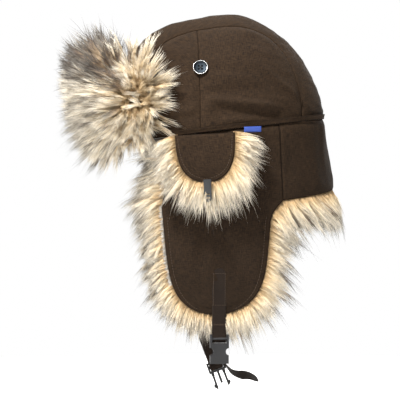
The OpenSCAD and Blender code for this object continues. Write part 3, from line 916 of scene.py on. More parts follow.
def cut_holes(obj, place, across, up, out, radius):
    """Four sewing holes through the button, cut with exact booleans."""
    for k in range(4):
        angle = math.radians(45 + 90 * k)
        centre = place + 2.4 * (across * math.cos(angle) + up * math.sin(angle))
        profile = [(0.001, -2.0), (radius, -2.0), (radius, 8.0), (0.001, 8.0)]
        points, quads = lathe(profile, 24, centre, across, up, out)
        cutter = mesh_object("cutter", points, quads)
        modifier = obj.modifiers.new("hole", "BOOLEAN")
        modifier.operation = "DIFFERENCE"
        modifier.solver = "EXACT"
        modifier.object = cutter
        bake_modifiers(obj)
        bpy.data.objects.remove(cutter)


def bake_modifiers(obj):
    depsgraph = bpy.context.evaluated_depsgraph_get()
    depsgraph.update()
    mesh = bpy.data.meshes.new_from_object(obj.evaluated_get(depsgraph))
    obj.modifiers.clear()
    obj.data = mesh


BUTTON_SIDES = 72


def make_buttons():
    crosses = []
    shanks = []
    for side, way in (("left", 1.0), ("right", -1.0)):
        place, across, up, out = button_frame()
        flip = np.array([way, 1.0, 1.0])
        place, across, up, out = place * flip, across * flip, up * flip, out * flip
        across = across * way
        back = place + out * BUTTON_STAND
        r = BUTTON_D / 2
        dish = [
            (0.001, 0.0), (r - 0.9, 0.0), (r - 0.25, 0.3), (r, 1.0), (r, 2.3), (r - 0.2, 2.9),
            (r - 0.4, 3.3), (r - 0.7, 3.4), (r - 1.0, 3.25), (r - 1.4, 2.7), (r - 2.0, 2.15),
            (r - 4.2, 1.9), (0.001, 1.8),
        ]
        points, quads = lathe(dish, BUTTON_SIDES, back, across, up, out)
        piece = mesh_object(f"crown_button_{side}_metal", points, quads)
        piece.data.materials.append(BUTTON)
        piece.data.materials.append(BUTTON_RIM)
        for polygon in piece.data.polygons:
            ring = polygon.index // BUTTON_SIDES
            polygon.material_index = 1 if 2 <= ring <= 7 else 0
        cut_holes(piece, back, across, up, out, 0.95)
        ride(piece, "hat_body", "button_metal", f"crown_button_{side}")
        cross = []
        for a in (45, 135):
            angle = math.radians(a)
            arm = across * math.cos(angle) + up * math.sin(angle)
            start = back + arm * 2.5 + out * 1.75
            end = back - arm * 2.5 + out * 1.75
            cross.append((np.array([start, end]), np.array([out, out])))
        for shift in (-0.5, 0.5):
            crosses.extend([(pts + up * shift * 0.6, nrm) for pts, nrm in cross])
        waist = [(0.001, -0.6), (2.1, -0.6), (1.8, 0.4), (2.2, 1.1), (0.001, 1.1)]
        shank, shank_quads = lathe(waist, 20, place, across, up, out)
        shanks.append((shank, shank_quads))
    points = np.concatenate([found for found, quads in shanks])
    offset = len(shanks[0][0])
    quads = shanks[0][1] + [[i + offset for i in quad] for quad in shanks[1][1]]
    piece = mesh_object("button_thread_shanks", points, quads)
    paint(piece, BLACK_THREAD)
    ride(piece, "hat_body", "thread", "button_threads")
    stitches("button_cross_threads", crosses, "hat_body", BLACK_THREAD, "thread", 4.6, 4.6, 0.26)


def make_tag():
    """A folded woven ribbon caught in the seam."""
    low, high = node_box("side_tag")
    rows, columns = 9, 25
    y = np.linspace(low[1] - 0.4, high[1], columns)
    z = np.linspace(high[2] - 2.6, low[2] + 0.4, rows)
    grid = np.zeros((rows, columns, 3))
    for r in range(rows):
        part = r / (rows - 1)
        for c in range(columns):
            q = c / (columns - 1)
            out = high[0] + 0.35 + 0.9 * math.sin(q * 2.2) - 0.5 * q + 0.25 * math.sin(3.0 * part)
            grid[r, c] = [out - 0.045 * (y[c] - low[1]), y[c], z[r] + 0.8 * q]
    finish = (TAG, "hat_body", "woven_tag")
    lay_cloth("side_tag_ribbon", grid, 0.7, finish, "folded", "side_cloth_left", "side_tag", hem=0.5)


make_buttons()
make_tag()


# ---- Skirt: one cloth per side from the seam to the end of the ear flap, and the neck curtain
LOBE_TOP = FOLD_Z - 0.4


def lobe_half(s):
    """Half width of the ear flap at a share s of its length."""
    return (57.0 - 10.5 * s) * np.maximum(0.0, 1.0 - s ** 6) ** 0.5


def front_edge(z):
    s = np.clip((LOBE_TOP - z) / (FLAP_LEN - 0.4), 0.0, 1.0)
    return np.where(z > FOLD_Z, -58.0 + 0.208 * z, FLAP_Y - lobe_half(s))


def neck_low(turn):
    share = np.abs(turn - 180.0) / (180.0 - SIDE_TURN)
    return -63.0 - 13.0 * share ** 1.3


SIDE_LOW = float(neck_low(np.array(SIDE_TURN)))
CURVE_END = -100.0


def back_edge_turn(z):
    """Turn of the cloth's back edge: the side seam, a hollow curve, and then the ear flap's edge."""
    s = np.clip((LOBE_TOP - z) / (FLAP_LEN - 0.4), 0.0, 1.0)
    lobe = wall_turn(FLAP_Y + lobe_half(s))
    q = np.clip((SIDE_LOW - z) / (SIDE_LOW - CURVE_END), 0.0, 1.0)
    curve = lobe + (SIDE_TURN - lobe) * (1.0 - q) ** 2.2
    return np.where(z > SIDE_LOW, SIDE_TURN, curve)


def side_levels():
    """Shares of the way down, denser at the round end."""
    upper = np.linspace(0.0, 0.42, 30)[:-1]
    lower = 0.42 + (0.998 - 0.42) * np.sin(np.linspace(0, math.pi / 2, 60))
    return np.concatenate([upper, lower])


def tuck(drop):
    """How far the skirt's cloth goes in under the crown's band."""
    return 2.2 * (1.0 - smoothstep(0.0, 8.0, drop))


def side_grid(t, columns=57):
    """The left side's cloth as a grid of points, t in from its outer face."""
    bottom = LOBE_TOP - (FLAP_LEN - 0.4)
    levels = side_levels()
    part = np.linspace(0.0, 1.0, columns)
    grid = np.zeros((len(levels), columns, 3))
    for r, share in enumerate(levels):
        z = -7.0 + (bottom + 7.0) * share
        start = wall_turn(front_edge(np.array(z)))
        end = back_edge_turn(np.array(z))
        turn = start + (end - start) * part
        top = seam_height(wall_y(turn, 0.0))
        drop = np.clip(1.0 - share / 0.3, 0.0, 1.0) ** 1.5
        level = z + (top - (-7.0)) * drop
        grid[r] = wall_point(turn, level, t + tuck(top - level))
    return grid


def side_relief(grid, seed):
    """Outward lift of the side cloth: padding, a stitched line inside the edge and soft folds."""
    hem = np.concatenate([grid[:, 0], grid[-1], grid[:, -1]])
    edge = distance_to(grid, hem)
    below = smoothstep(-60.0, -95.0, grid[..., 2])
    puff = 1.6 * below * (1.0 - np.exp(-edge / 9.0))
    stitch = -0.45 * below * np.exp(-(((edge - 6.0) / 1.0) ** 2))
    folds = 2.2 * soft_noise(grid * np.array([1.0, 1.5, 0.7]), 42.0, seed)
    fine = 0.7 * soft_noise(grid * np.array([1.0, 1.3, 0.8]), 17.0, seed + 1)
    return (folds + fine) * smoothstep(0.0, 14.0, edge) + puff + stitch


def flap_wadding_grid():
    grid = side_grid(2.0)
    rows = grid[:, :, 2].max(1) < FOLD_Z - 2.0
    return grid[rows][:, 2:-2]


def across_fold(obj, side, slot, *nodes):
    """Bakes the piece's transform into its mesh and hides the CAD nodes it stands for."""
    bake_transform(obj)
    if nodes:
        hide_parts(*nodes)
    return obj


side_outer = side_grid(0.0)
side_outer = side_outer + grid_normals(side_outer) * side_relief(side_outer, 11)[..., None]


def inset_line(grid, inset):
    """Points and normals of a sewn line inside the front edge, the round end and the back edge."""
    low = grid[..., 2].max(1) < -92.0
    rows = np.nonzero(low)[0]
    normals = grid_normals(grid)
    points = []
    facing = []

    def along_row(r, from_start):
        line = grid[r] if from_start else grid[r, ::-1]
        face = normals[r] if from_start else normals[r, ::-1]
        far = np.concatenate([[0.0], np.cumsum(np.linalg.norm(np.diff(line, axis=0), axis=1))])
        if far[-1] < 2.2 * inset:
            return
        points.append([np.interp(inset, far, line[:, k]) for k in range(3)])
        facing.append([np.interp(inset, far, face[:, k]) for k in range(3)])
    end = grid[-1, :, 2].mean() + inset
    rows = [r for r in rows if grid[r, :, 2].mean() > end]
    for r in rows:
        along_row(r, True)
    for r in rows[::-1]:
        along_row(r, False)
    return np.array(points), unit(np.array(facing))


def make_sides():
    wadding = flap_wadding_grid()
    for side in SIDES:
        grid = on_side(side_outer, side)
        piece = cloth_shell(f"side_cloth_{side}", grid, CLOTH_T, hem=0.5, seam=0.03)
        paint(piece, CANVAS)
        across_fold(piece, side, "outer_fabric", f"ear_panel_{side}", f"ear_flap_shell_{side}")
        declare_sheet(grid)
        seam = inset_line(grid, 6.0)
        sewing = stitches(f"ear_flap_stitches_{side}", [seam], None, pitch=3.0, length=2.2, radius=0.2)
        across_fold(sewing, side, "thread")
        piece = cloth_shell(f"ear_flap_wadding_layer_{side}", on_side(wadding, side), 1.4)
        paint(piece, WADDING)
        across_fold(piece, side, "wadding", f"ear_flap_wadding_{side}")


def neck_grid(t, rows=41, columns=121):
    turn = np.linspace(SIDE_TURN, 360.0 - SIDE_TURN, columns)
    top = seam_height(wall_y(turn, 0.0))
    low = neck_low(turn)
    grid = np.zeros((rows, columns, 3))
    for r in range(rows):
        level = top + (low - top) * (r / (rows - 1)) ** 1.2
        grid[r] = wall_point(turn, level, t + tuck(top - level))
    return grid


neck_outer = neck_grid(0.0)
neck_edge = distance_to(neck_outer, border_points(neck_outer))
neck_lift = 2.2 * soft_noise(neck_outer * np.array([1.4, 1.4, 0.6]), 42.0, 21)
neck_lift = neck_lift + 0.4 * soft_noise(neck_outer, 18.0, 22)
neck_lift = neck_lift * smoothstep(0.0, 12.0, neck_edge) - 0.3 * np.exp(-((neck_edge / 1.2) ** 2))
neck_outer = neck_outer + grid_normals(neck_outer) * neck_lift[..., None]


def make_neck():
    finish = (CANVAS, "hat_body", "outer_fabric")
    edges = {"hem": 0.5, "seam": 0.03}
    lay_cloth("neck_cloth", neck_outer, CLOTH_T, finish, "hung", "seam_band_cloth", "neck_curtain", **edges)


make_sides()
make_neck()


# ---- Ear covers
COVER_LEN = 52.0
COVER_HALF_W = 32.0
COVER_Y = -30.0
COVER_LEAN = math.radians(9.0)
COVER_YAW = math.radians(-6.5)
COVER_TILT = math.radians(3.0)
COVER_T = 1.8
COVER_OUT = 2.4
cover_hinge = np.array([
    float(wall_x(wall_turn(np.array(COVER_Y)), 0.0)) + COVER_OUT, COVER_Y, SEAM_SLOPE * COVER_Y - 2.0,
])


def turn_about(points, axis, angle):
    c, s = math.cos(angle), math.sin(angle)
    x, y, z = points[..., 0], points[..., 1], points[..., 2]
    if axis == "x":
        return np.stack([x, c * y - s * z, s * y + c * z], -1)
    if axis == "y":
        return np.stack([c * x + s * z, y, -s * x + c * z], -1)
    return np.stack([c * x - s * y, s * x + c * y, z], -1)


def on_cover(across, down, out):
    """Points in the hanging plane of the left ear cover."""
    flat = np.stack([out + 0.0 * across, across + 0.0 * out, -down + 0.0 * across], -1)
    leant = turn_about(flat, "y", -COVER_LEAN)
    turned = turn_about(turn_about(leant, "x", COVER_TILT), "z", COVER_YAW)
    return turned + cover_hinge


def cover_vector(across, down, out):
    return on_cover(across, down, out) - cover_hinge


def cover_half(s):
    return COVER_HALF_W * (1.0 - 0.05 * s) * np.maximum(0.0, 1.0 - s ** 3.5) ** 0.5


def hem_line(grid, inset):
    """Points and normals of a sewn line inside the sides and the round end of a grid."""
    normals = grid_normals(grid)
    middle = grid.mean((0, 1))
    rim = np.concatenate([grid[:, 0], grid[-1, 1:-1], grid[::-1, -1]])
    facing = np.concatenate([normals[:, 0], normals[-1, 1:-1], normals[::-1, -1]])
    inner = rim + unit(middle - rim) * inset
    flat = grid.reshape(-1, 3)
    gap = np.linalg.norm(inner[:, None, :] - flat[None, :, :], axis=2)
    nearest = gap.argmin(1)
    height = ((flat[nearest] - inner) * facing).sum(1, keepdims=True)
    return inner + facing * height, unit(facing)


def make_ear_covers():
    rows, columns = 41, 41
    s = 0.999 * np.sin(np.linspace(0, math.pi / 2, rows))
    part = np.linspace(-1.0, 1.0, columns)
    down = np.repeat((s * COVER_LEN)[:, None], columns, 1)
    across = cover_half(s)[:, None] * part[None, :]
    grid = on_cover(across, down, np.full_like(across, COVER_T))
    hem = np.concatenate([grid[:, 0], grid[-1], grid[:, -1]])
    edge = distance_to(grid, hem)
    dent = -1.6 * np.exp(-((across / 9.0) ** 2)) * smoothstep(34.0, 52.0, down)
    lift = 1.5 * (1.0 - np.exp(-edge / 8.0)) - 0.3 * np.exp(-(((edge - 5.0) / 0.9) ** 2))
    waves = 1.1 * soft_noise(grid, 30.0, 31) + 0.3 * soft_noise(grid, 11.0, 32)
    lift = lift + waves * smoothstep(0, 9, edge)
    outward = -unit(cover_vector(np.array(0.0), np.array(0.0), np.array(-1.0)))
    grid = grid + outward * (lift + dent)[..., None]
    for side in SIDES:
        shape = on_side(grid, side)
        body, node = f"ear_cover_{side}", f"ear_cover_shell_{side}"
        finish = (CANVAS, body, "outer_fabric")
        lay_cloth(f"ear_cover_cloth_{side}", shape, COVER_T, finish, "hung", f"side_cloth_{side}", node)
        hem = hem_line(shape, 4.5)
        stitches(f"ear_cover_stitches_{side}", [hem], body, pitch=2.8, length=2.0, radius=0.2)
        paint(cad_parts[f"button_tab_{side}"], RUBBER)


make_ear_covers()


# ---- Visor cloth
VISOR_HALF_W = 75.0
VISOR_H = 92.0
VISOR_LOW = -12.0
VISOR_BACK = -113.0
VISOR_BOW = 18.0
VISOR_LEAN = 0.19


def visor_wide(s):
    return VISOR_HALF_W * np.maximum(0.0, 1.0 - s ** 4) ** (1.0 / 2.5)


def visor_place(x, up, out):
    y = VISOR_BACK + VISOR_BOW * (x / VISOR_HALF_W) ** 2 - VISOR_LEAN * up - out
    return np.stack([x, y, VISOR_LOW + up], -1)


def visor_grid(out, rim=0.0, rows=41, columns=61):
    s = 0.997 * np.sin(np.linspace(0, math.pi / 2, rows))
    x = np.linspace(-1, 1, columns)[None, :] * (visor_wide(s)[:, None] + rim)
    up = np.repeat((s * (VISOR_H + rim))[:, None], columns, 1)
    return visor_place(x, up, np.full_like(x, out))


def make_visor_cloth():
    """The side that faces the crown, with the board behind it."""
    grid = visor_grid(0.0)
    edge = distance_to(grid, border_points(grid))
    lift = 0.9 * soft_noise(grid, 35.0, 41) * smoothstep(0, 8, edge)
    grid = grid[::-1] + np.array([0.0, 0.4, 0.0]) * lift[::-1][..., None]
    finish = (CANVAS, "visor", "outer_fabric")
    lay_cloth("visor_cloth", grid, CLOTH_T, finish, "stretched", "visor_board", "visor_shell")
    stitches("visor_stitches", [hem_line(grid, 5.0)], "visor", pitch=3.0, length=2.2, radius=0.2)
    paint(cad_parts["visor_board"], BOARD)


make_visor_cloth()


# ---- Fur: locks of tapered hairs, three-sided and pointed
class Locks:
    """Guide lines of the locks of one fur piece."""

    def __init__(self):
        self.parts = []

    def add(self, root, start, end, length, tone, spread=1.6, clump=0.8, droop=0.3, far=1.0):
        """far is how much of the colours from root to tip a lock shows: short wool stays near 0.5."""
        n = len(root)
        columns = [np.asarray(root, float), unit(start), unit(end)]
        facts = (length, tone, spread, clump, droop, far)
        columns += [(np.ones(n) * value)[:, None] for value in facts]
        self.parts.append(np.concatenate(columns, 1))

    def table(self):
        return np.concatenate(self.parts)


def lock_paths(root, start, end, length, droop, rings):
    """Points along each lock's middle: it leaves along start and bends over to end."""
    share = np.linspace(0.0, 1.0, rings)
    points = [root]
    for k in range(1, rings):
        middle = 0.5 * (share[k - 1] + share[k])
        heading = start * (1.0 - middle) ** 1.2 + end * middle ** 0.9
        heading[:, 2] -= droop * middle ** 2
        step = unit(heading) * (length * (share[k] - share[k - 1]))[:, None]
        points.append(points[-1] + step)
    return np.stack(points, 1)


# Where the hairs begin to bend back, and the room beyond: axis, sign, start and room
LIMITS = ((0, 1, 100.0, 19.0), (0, -1, 100.0, 19.0), (1, 1, 112.0, 24.0), (1, -1, 168.0, 33.0))


def kept_inside(shape):
    """Hairs bend back before they stand further out than the bounds in LIMITS."""
    for axis, sign, soft, room in LIMITS:
        value = shape[..., axis]
        over = np.maximum(value * sign - soft, 0.0)
        bent = sign * (soft + room * (1.0 - np.exp(-over / room)))
        shape[..., axis] = np.where(over > 0, bent, value)
    return shape


def fur_mesh(name, locks, hairs, seed, width=0.7, rings=6, material=FUR, frizz=1.0):
    """Each lock becomes a bunch of hairs that draw together towards its point."""
    rng = np.random.default_rng(seed)
    table = locks.table()
    n = len(table)
    root, start, end = table[:, 0:3], table[:, 3:6], table[:, 6:9]
    length, tone, spread, clump, droop, far = (table[:, k] for k in range(9, 15))
    middle = lock_paths(root, start, end, length, droop, rings)
    upward, sideways = np.array([[0.0, 0.0, 1.0]]), np.array([[1.0, 0.0, 0.0]])
    helper = np.where(np.abs(start[:, 2:3]) < 0.9, upward, sideways)
    side = unit(np.cross(start, helper))
    other = np.cross(start, side)
    total = n * hairs
    lock = np.repeat(np.arange(n), hairs)
    radius = spread[lock] * np.sqrt(rng.random(total))
    angle = rng.random(total) * 2 * math.pi
    offset = side[lock] * (radius * np.cos(angle))[:, None]
    offset = offset + other[lock] * (radius * np.sin(angle))[:, None]
    share = np.linspace(0.0, 1.0, rings)
    reach = 0.66 + 0.4 * rng.random(total)
    guard = rng.random(total) < 0.08
    reach = np.where(guard, reach * 1.22, reach)
    stray = rng.normal(0.0, 1.0, (total, 3)) * frizz
    wave = rng.normal(0.0, 1.0, (total, 3)) * 0.35 * frizz
    pull = 1.0 - clump[lock][:, None] * share[None, :] ** 0.8
    centre = middle[lock]
    rooted = centre[:, :1]
    shape = rooted + (centre - rooted) * reach[:, None, None]
    shape = shape + offset[:, None, :] * pull[..., None]
    shape = shape + stray[:, None, :] * (share[None, :, None] ** 1.6) * 1.7
    shape = shape + wave[:, None, :] * np.sin(share[None, :, None] * 6.0)
    shape = kept_inside(shape)
    heading = unit(np.gradient(shape, axis=1))
    spin = rng.normal(0.0, 1.0, (total, 1, 3))
    first = unit(np.cross(heading, spin))
    second = np.cross(heading, first)
    profile = np.interp(share, [0.0, 0.25, 0.6, 0.85, 1.0], [0.8, 1.0, 0.8, 0.42, 0.0])
    thick = width * (0.75 + 0.5 * rng.random(total))
    thick = np.where(guard, thick * 0.7, thick) / 2
    rings_kept = rings - 1
    points = []
    girth = (profile[None, :] * thick[:, None])[..., None]
    for k in range(3):
        a = 2 * math.pi * k / 3
        reach_out = (first * math.cos(a) + second * math.sin(a)) * girth
        points.append(shape[:, :rings_kept] + reach_out[:, :rings_kept])
    tube = np.stack(points, 2).reshape(total, rings_kept * 3, 3)
    block = np.concatenate([tube, shape[:, -1:]], 1)
    per = rings_kept * 3 + 1
    quads = []
    for r in range(rings_kept - 1):
        for k in range(3):
            a = r * 3 + k
            b = r * 3 + (k + 1) % 3
            quads.append([a, b, b + 3, a + 3])
    triangles = [[2, 1, 0]]
    for k in range(3):
        a = (rings_kept - 1) * 3 + k
        b = (rings_kept - 1) * 3 + (k + 1) % 3
        triangles.append([a, b, per - 1])
    base = (np.arange(total) * per)[:, None, None]
    all_quads = (base + np.array(quads)[None]).reshape(-1, 4)
    all_triangles = (base + np.array(triangles)[None]).reshape(-1, 3)
    obj = mesh_object(name, block.reshape(-1, 3), all_quads, all_triangles)
    hair_tone = np.clip(tone[lock] + rng.normal(0.0, 0.09, total), 0.02, 0.93)
    hair_tone = np.where(guard, np.clip(hair_tone + 0.35, 0.05, 0.95), hair_tone)
    columns = 16
    hair_tone = np.floor(hair_tone * columns) / columns
    lock_band = rng.integers(0, BANDS, n)[lock]
    band = np.clip(lock_band + rng.integers(-1, 2, total), 0, BANDS - 1)
    left = (band + hair_tone + 0.004) / BANDS
    wide = (1.0 / columns - 0.008) / BANDS
    u = np.zeros((total, per))
    v = np.zeros((total, per))
    for r in range(rings_kept):
        for k in range(3):
            u[:, r * 3 + k] = left + wide * k / 2
            v[:, r * 3 + k] = share[r] * far[lock]
    u[:, -1] = left + wide / 2
    v[:, -1] = far[lock]
    add_uv(obj, "OFBake", np.stack([u, v], -1).reshape(-1, 2))
    paint(obj, material)
    return obj


def scattered(grid, per_mm2, rng, *fields):
    """Random points on a grid, with the values of other fields of the grid at them."""
    a = grid[1:, 1:] - grid[:-1, :-1]
    b = grid[1:, :-1] - grid[:-1, 1:]
    area = 0.5 * np.linalg.norm(np.cross(a, b), axis=2).ravel()
    count = int(area.sum() * per_mm2)
    cells = rng.choice(len(area), count, p=area / area.sum())
    r, c = np.divmod(cells, grid.shape[1] - 1)
    fr, fc = rng.random(count)[:, None], rng.random(count)[:, None]
    picked = []
    for field in (grid, *fields):
        top = field[r, c] * (1 - fc) + field[r, c + 1] * fc
        low = field[r + 1, c] * (1 - fc) + field[r + 1, c + 1] * fc
        picked.append(top * (1 - fr) + low * fr)
    return picked


def along_edge(line, step, rng, *fields):
    """Points every step along a line, with a little disorder, and other fields of the line at them."""
    along = np.concatenate([[0.0], np.cumsum(np.linalg.norm(np.diff(line, axis=0), axis=1))])
    count = max(2, int(along[-1] / step))
    at = (np.arange(count) + rng.random(count)) * along[-1] / count
    found = []
    for field in (line, *fields):
        found.append(between(at, along, field))
    return found


def locks_on(locks, side):
    """Locks of the left side, or the same locks mirrored."""
    if side == "left":
        return locks
    other = Locks()
    table = locks.table().copy()
    table[:, [0, 3, 6]] *= -1.0
    other.parts = [table]
    return other


DOWN = np.array([0.0, 0.0, -1.0])


def rim_locks(locks, line, outward, inner, comb, size, tone, rng, rows, step, spread=2.0):
    """Rows of locks along a cloth edge, fanned from the edge's plane to its inner face.

    comb is a direction for each point of the line, size its length and tone its darkness.
    """
    facts = np.stack([size, tone], 1)
    for inset, lean, share in rows:
        root, out, inn, lay, fact = along_edge(line, step, rng, outward, inner, comb, facts)
        out = unit(out)
        inn = unit(inn)
        n = len(root)
        root = root - out * inset + inn * (1.5 + 0.25 * inset)
        ruffle = drift(root, 16.0, 81)
        start = out + 0.25 * lay + inn * lean + 0.15 * ruffle + rng.normal(0, 0.15, (n, 3))
        finish = out * 0.75 + lay + inn * (lean * 0.3) + 0.35 * ruffle + rng.normal(0, 0.18, (n, 3))
        reach = fact[:, 0] * share * (0.78 + 0.42 * rng.random(n))
        dark = fact[:, 1] + rng.normal(0, 0.1, n)
        locks.add(root, start, finish, reach, dark, spread=spread, clump=0.66, droop=0.2)


def edge_outward(line, surface_normal, centre_hint):
    """Unit vectors in the cloth's plane, away from the cloth, along its edge."""
    along = unit(np.gradient(line, axis=0))
    out = unit(np.cross(along, surface_normal))
    away = line - centre_hint
    sign = np.sign((out * away).sum(1, keepdims=True))
    return out * np.where(sign == 0, 1.0, sign)


# The visor's fur is a rounded mass. Its hairs turn away from a whorl at each end of the visor.
WHORL_Y = -99.0
WHORL_Z = 33.0


def drift(points, scale, seed):
    """A smooth field of directions that ruffles the pile."""
    return np.stack([soft_noise(points, scale, seed + k) for k in range(3)], -1)


def visor_core(grow=0.0, rows=61, columns=73):
    """Surface of the mass that the visor's hairs grow from, as rings from one end to the other."""
    share = np.sin(np.linspace(-math.pi / 2, math.pi / 2, rows)) * 0.9995
    angle = np.linspace(0.0, 2.0 * math.pi, columns)
    swell = np.maximum(0.0, 1.0 - np.abs(share) ** 2.6) ** 0.5
    x = share[:, None] * (73.0 + grow) * np.ones(columns)[None, :]
    up = 43.0 + (41.0 + grow) * swell[:, None] ** 0.8 * np.sin(angle)[None, :]
    out = 10.0 + (11.0 + grow) * swell[:, None] ** 0.6 * np.cos(angle)[None, :]
    return visor_place(x, up, out)


def visor_tone(root):
    """Darkness of the visor's locks: a dark patch high at the front, and dark tips at the edges."""
    ahead = -(root[:, 1] - WHORL_Y)
    above = root[:, 2] - WHORL_Z
    angle = np.degrees(np.arctan2(above, ahead))
    far = smoothstep(14.0, 30.0, np.hypot(ahead, above))
    cloud = soft_noise(root, 20.0, 53)
    patch = np.exp(-(((angle - 42.0 - 8.0 * cloud) / 19.0) ** 4)) * far
    low = np.exp(-(((angle + 25.0) / 22.0) ** 2)) * far
    return np.clip(0.03 + 1.3 * patch * (0.85 + 0.4 * cloud) + 0.1 * low + 0.05 * cloud, 0.02, 0.97)


def make_visor_fur():
    rng = np.random.default_rng(101)
    core = visor_core()
    normals = grid_normals(core)
    centre = core.mean((0, 1))
    normals = normals * np.sign(((core - centre) * normals).sum(-1).mean())
    root, normal = scattered(core, 0.082, rng, normals)
    normal = unit(normal)
    hidden = (normal[:, 1] > 0.15) & (np.abs(root[:, 0]) < 58.0) & (root[:, 2] < 66.0)
    root, normal = root[~hidden], normal[~hidden]
    n = len(root)
    radial = np.stack([np.zeros(n), root[:, 1] - WHORL_Y, root[:, 2] - WHORL_Z], 1)
    away = np.hypot(radial[:, 1], radial[:, 2])
    comb = radial / np.maximum(away, 12.0)[:, None]
    cap = smoothstep(52.0, 72.0, np.abs(root[:, 0]))[:, None]
    near = 1.0 - smoothstep(10.0, 40.0, away)
    swirl = np.stack([np.zeros(n), comb[:, 2], -comb[:, 1]], 1) * 0.5 * near[:, None]
    ruffle = drift(root, 20.0, 71)
    start = normal + (0.2 + 0.25 * cap) * comb + 0.3 * ruffle + rng.normal(0, 0.2, (n, 3))
    end = normal * (0.45 - 0.22 * cap) + comb + swirl + 0.75 * ruffle + rng.normal(0, 0.22, (n, 3))
    tone = visor_tone(root)
    length = (36.0 + 7.0 * smoothstep(20.0, 60.0, root[:, 2])) * (0.72 + 0.45 * rng.random(n))
    locks = Locks()
    locks.add(root, start, end, length, tone, spread=3.4, clump=0.62, droop=0.1)
    # Layers of locks on the two ends: matted short wool in the whorl, and long locks that lie outwards
    for sign in (-1.0, 1.0):
        for reach, many, long, rise, far in (
            (13.0, 60, 13.0, 7.0, 0.36), (18.0, 60, 19.0, 5.0, 0.48), (22.0, 70, 29.0, 2.0, 0.75),
            (28.0, 80, 37.0, -2.0, 1.0), (33.0, 60, 40.0, -8.0, 1.0),
        ):
            turn = rng.random(many) * 2 * math.pi
            inset = reach * (0.35 + 0.65 * np.sqrt(rng.random(many)))
            spoke = np.stack([np.zeros(many), np.cos(turn), np.sin(turn)], 1)
            middle = np.array([sign * (73.0 + rise), WHORL_Y - 4.0, WHORL_Z])
            oval = spoke * inset[:, None] * np.array([1.0, 0.8, 1.3])
            root = middle + oval + rng.normal(0, 1.5, (many, 3))
            root[:, 0] -= sign * 0.25 * inset
            ruffle = drift(root, 17.0, 75)
            outwards = np.array([sign, 0.0, 0.0])
            wild = 0.7 if long < 25.0 else 0.28
            start = outwards * 0.8 + 0.5 * spoke + 0.5 * ruffle + rng.normal(0, wild, (many, 3))
            end = outwards * 0.2 + spoke + 0.9 * ruffle + rng.normal(0, wild, (many, 3))
            size = long * (0.7 + 0.5 * rng.random(many))
            tone = visor_tone(root + 24.0 * spoke) * (0.3 if long < 25.0 else 1.0) + 0.08
            locks.add(root, start, end, size, tone, spread=3.2, clump=0.6, droop=0.08, far=far)
    # Sparse dark guard hairs that stand beyond the rest
    root, normal = scattered(core, 0.012, rng, normals)
    keep = (normal[:, 1] < 0.1) | (root[:, 2] > 70.0)
    root, normal = root[keep], unit(normal[keep])
    n = len(root)
    comb = unit(np.stack([np.zeros(n), root[:, 1] - WHORL_Y, root[:, 2] - WHORL_Z], 1))
    start = normal + rng.normal(0, 0.2, (n, 3))
    end = normal * 0.5 + comb + rng.normal(0, 0.2, (n, 3))
    length = 46.0 * (0.85 + 0.25 * rng.random(n))
    locks.add(root, start, end, length, 0.7, spread=2.6, clump=0.6, droop=0.1)
    table = locks.table()
    order = np.argsort(table[:, 0])
    parts = ("right_end", "right", "middle", "left", "left_end")
    for part, rows in zip(parts, np.array_split(order, len(parts))):
        some = Locks()
        some.parts = [table[rows]]
        piece = fur_mesh(f"visor_fur_{part}", some, 17, 110 + len(part), width=0.6, rings=5)
        ride(piece, "visor", "faux_fur", *(["visor_fur"] if part == "middle" else []))
    base = visor_core(-1.0)
    lift = grid_normals(base) * np.sign(((core - centre) * grid_normals(base)).sum(-1).mean())
    rough = 1.6 * soft_noise(base, 9.0, 52)
    rough[:, -1] = rough[:, 0]
    base = base + lift * rough[..., None]
    index = np.arange(base[..., 0].size).reshape(base.shape[:2])
    corners = [index[:-1, :-1], index[:-1, 1:], index[1:, 1:], index[1:, :-1]]
    quads = np.stack(corners, -1).reshape(-1, 4)
    piece = mesh_object("visor_undercoat", base.reshape(-1, 3), quads)
    paint(piece, UNDERCOAT)
    ride(piece, "visor", "faux_fur")


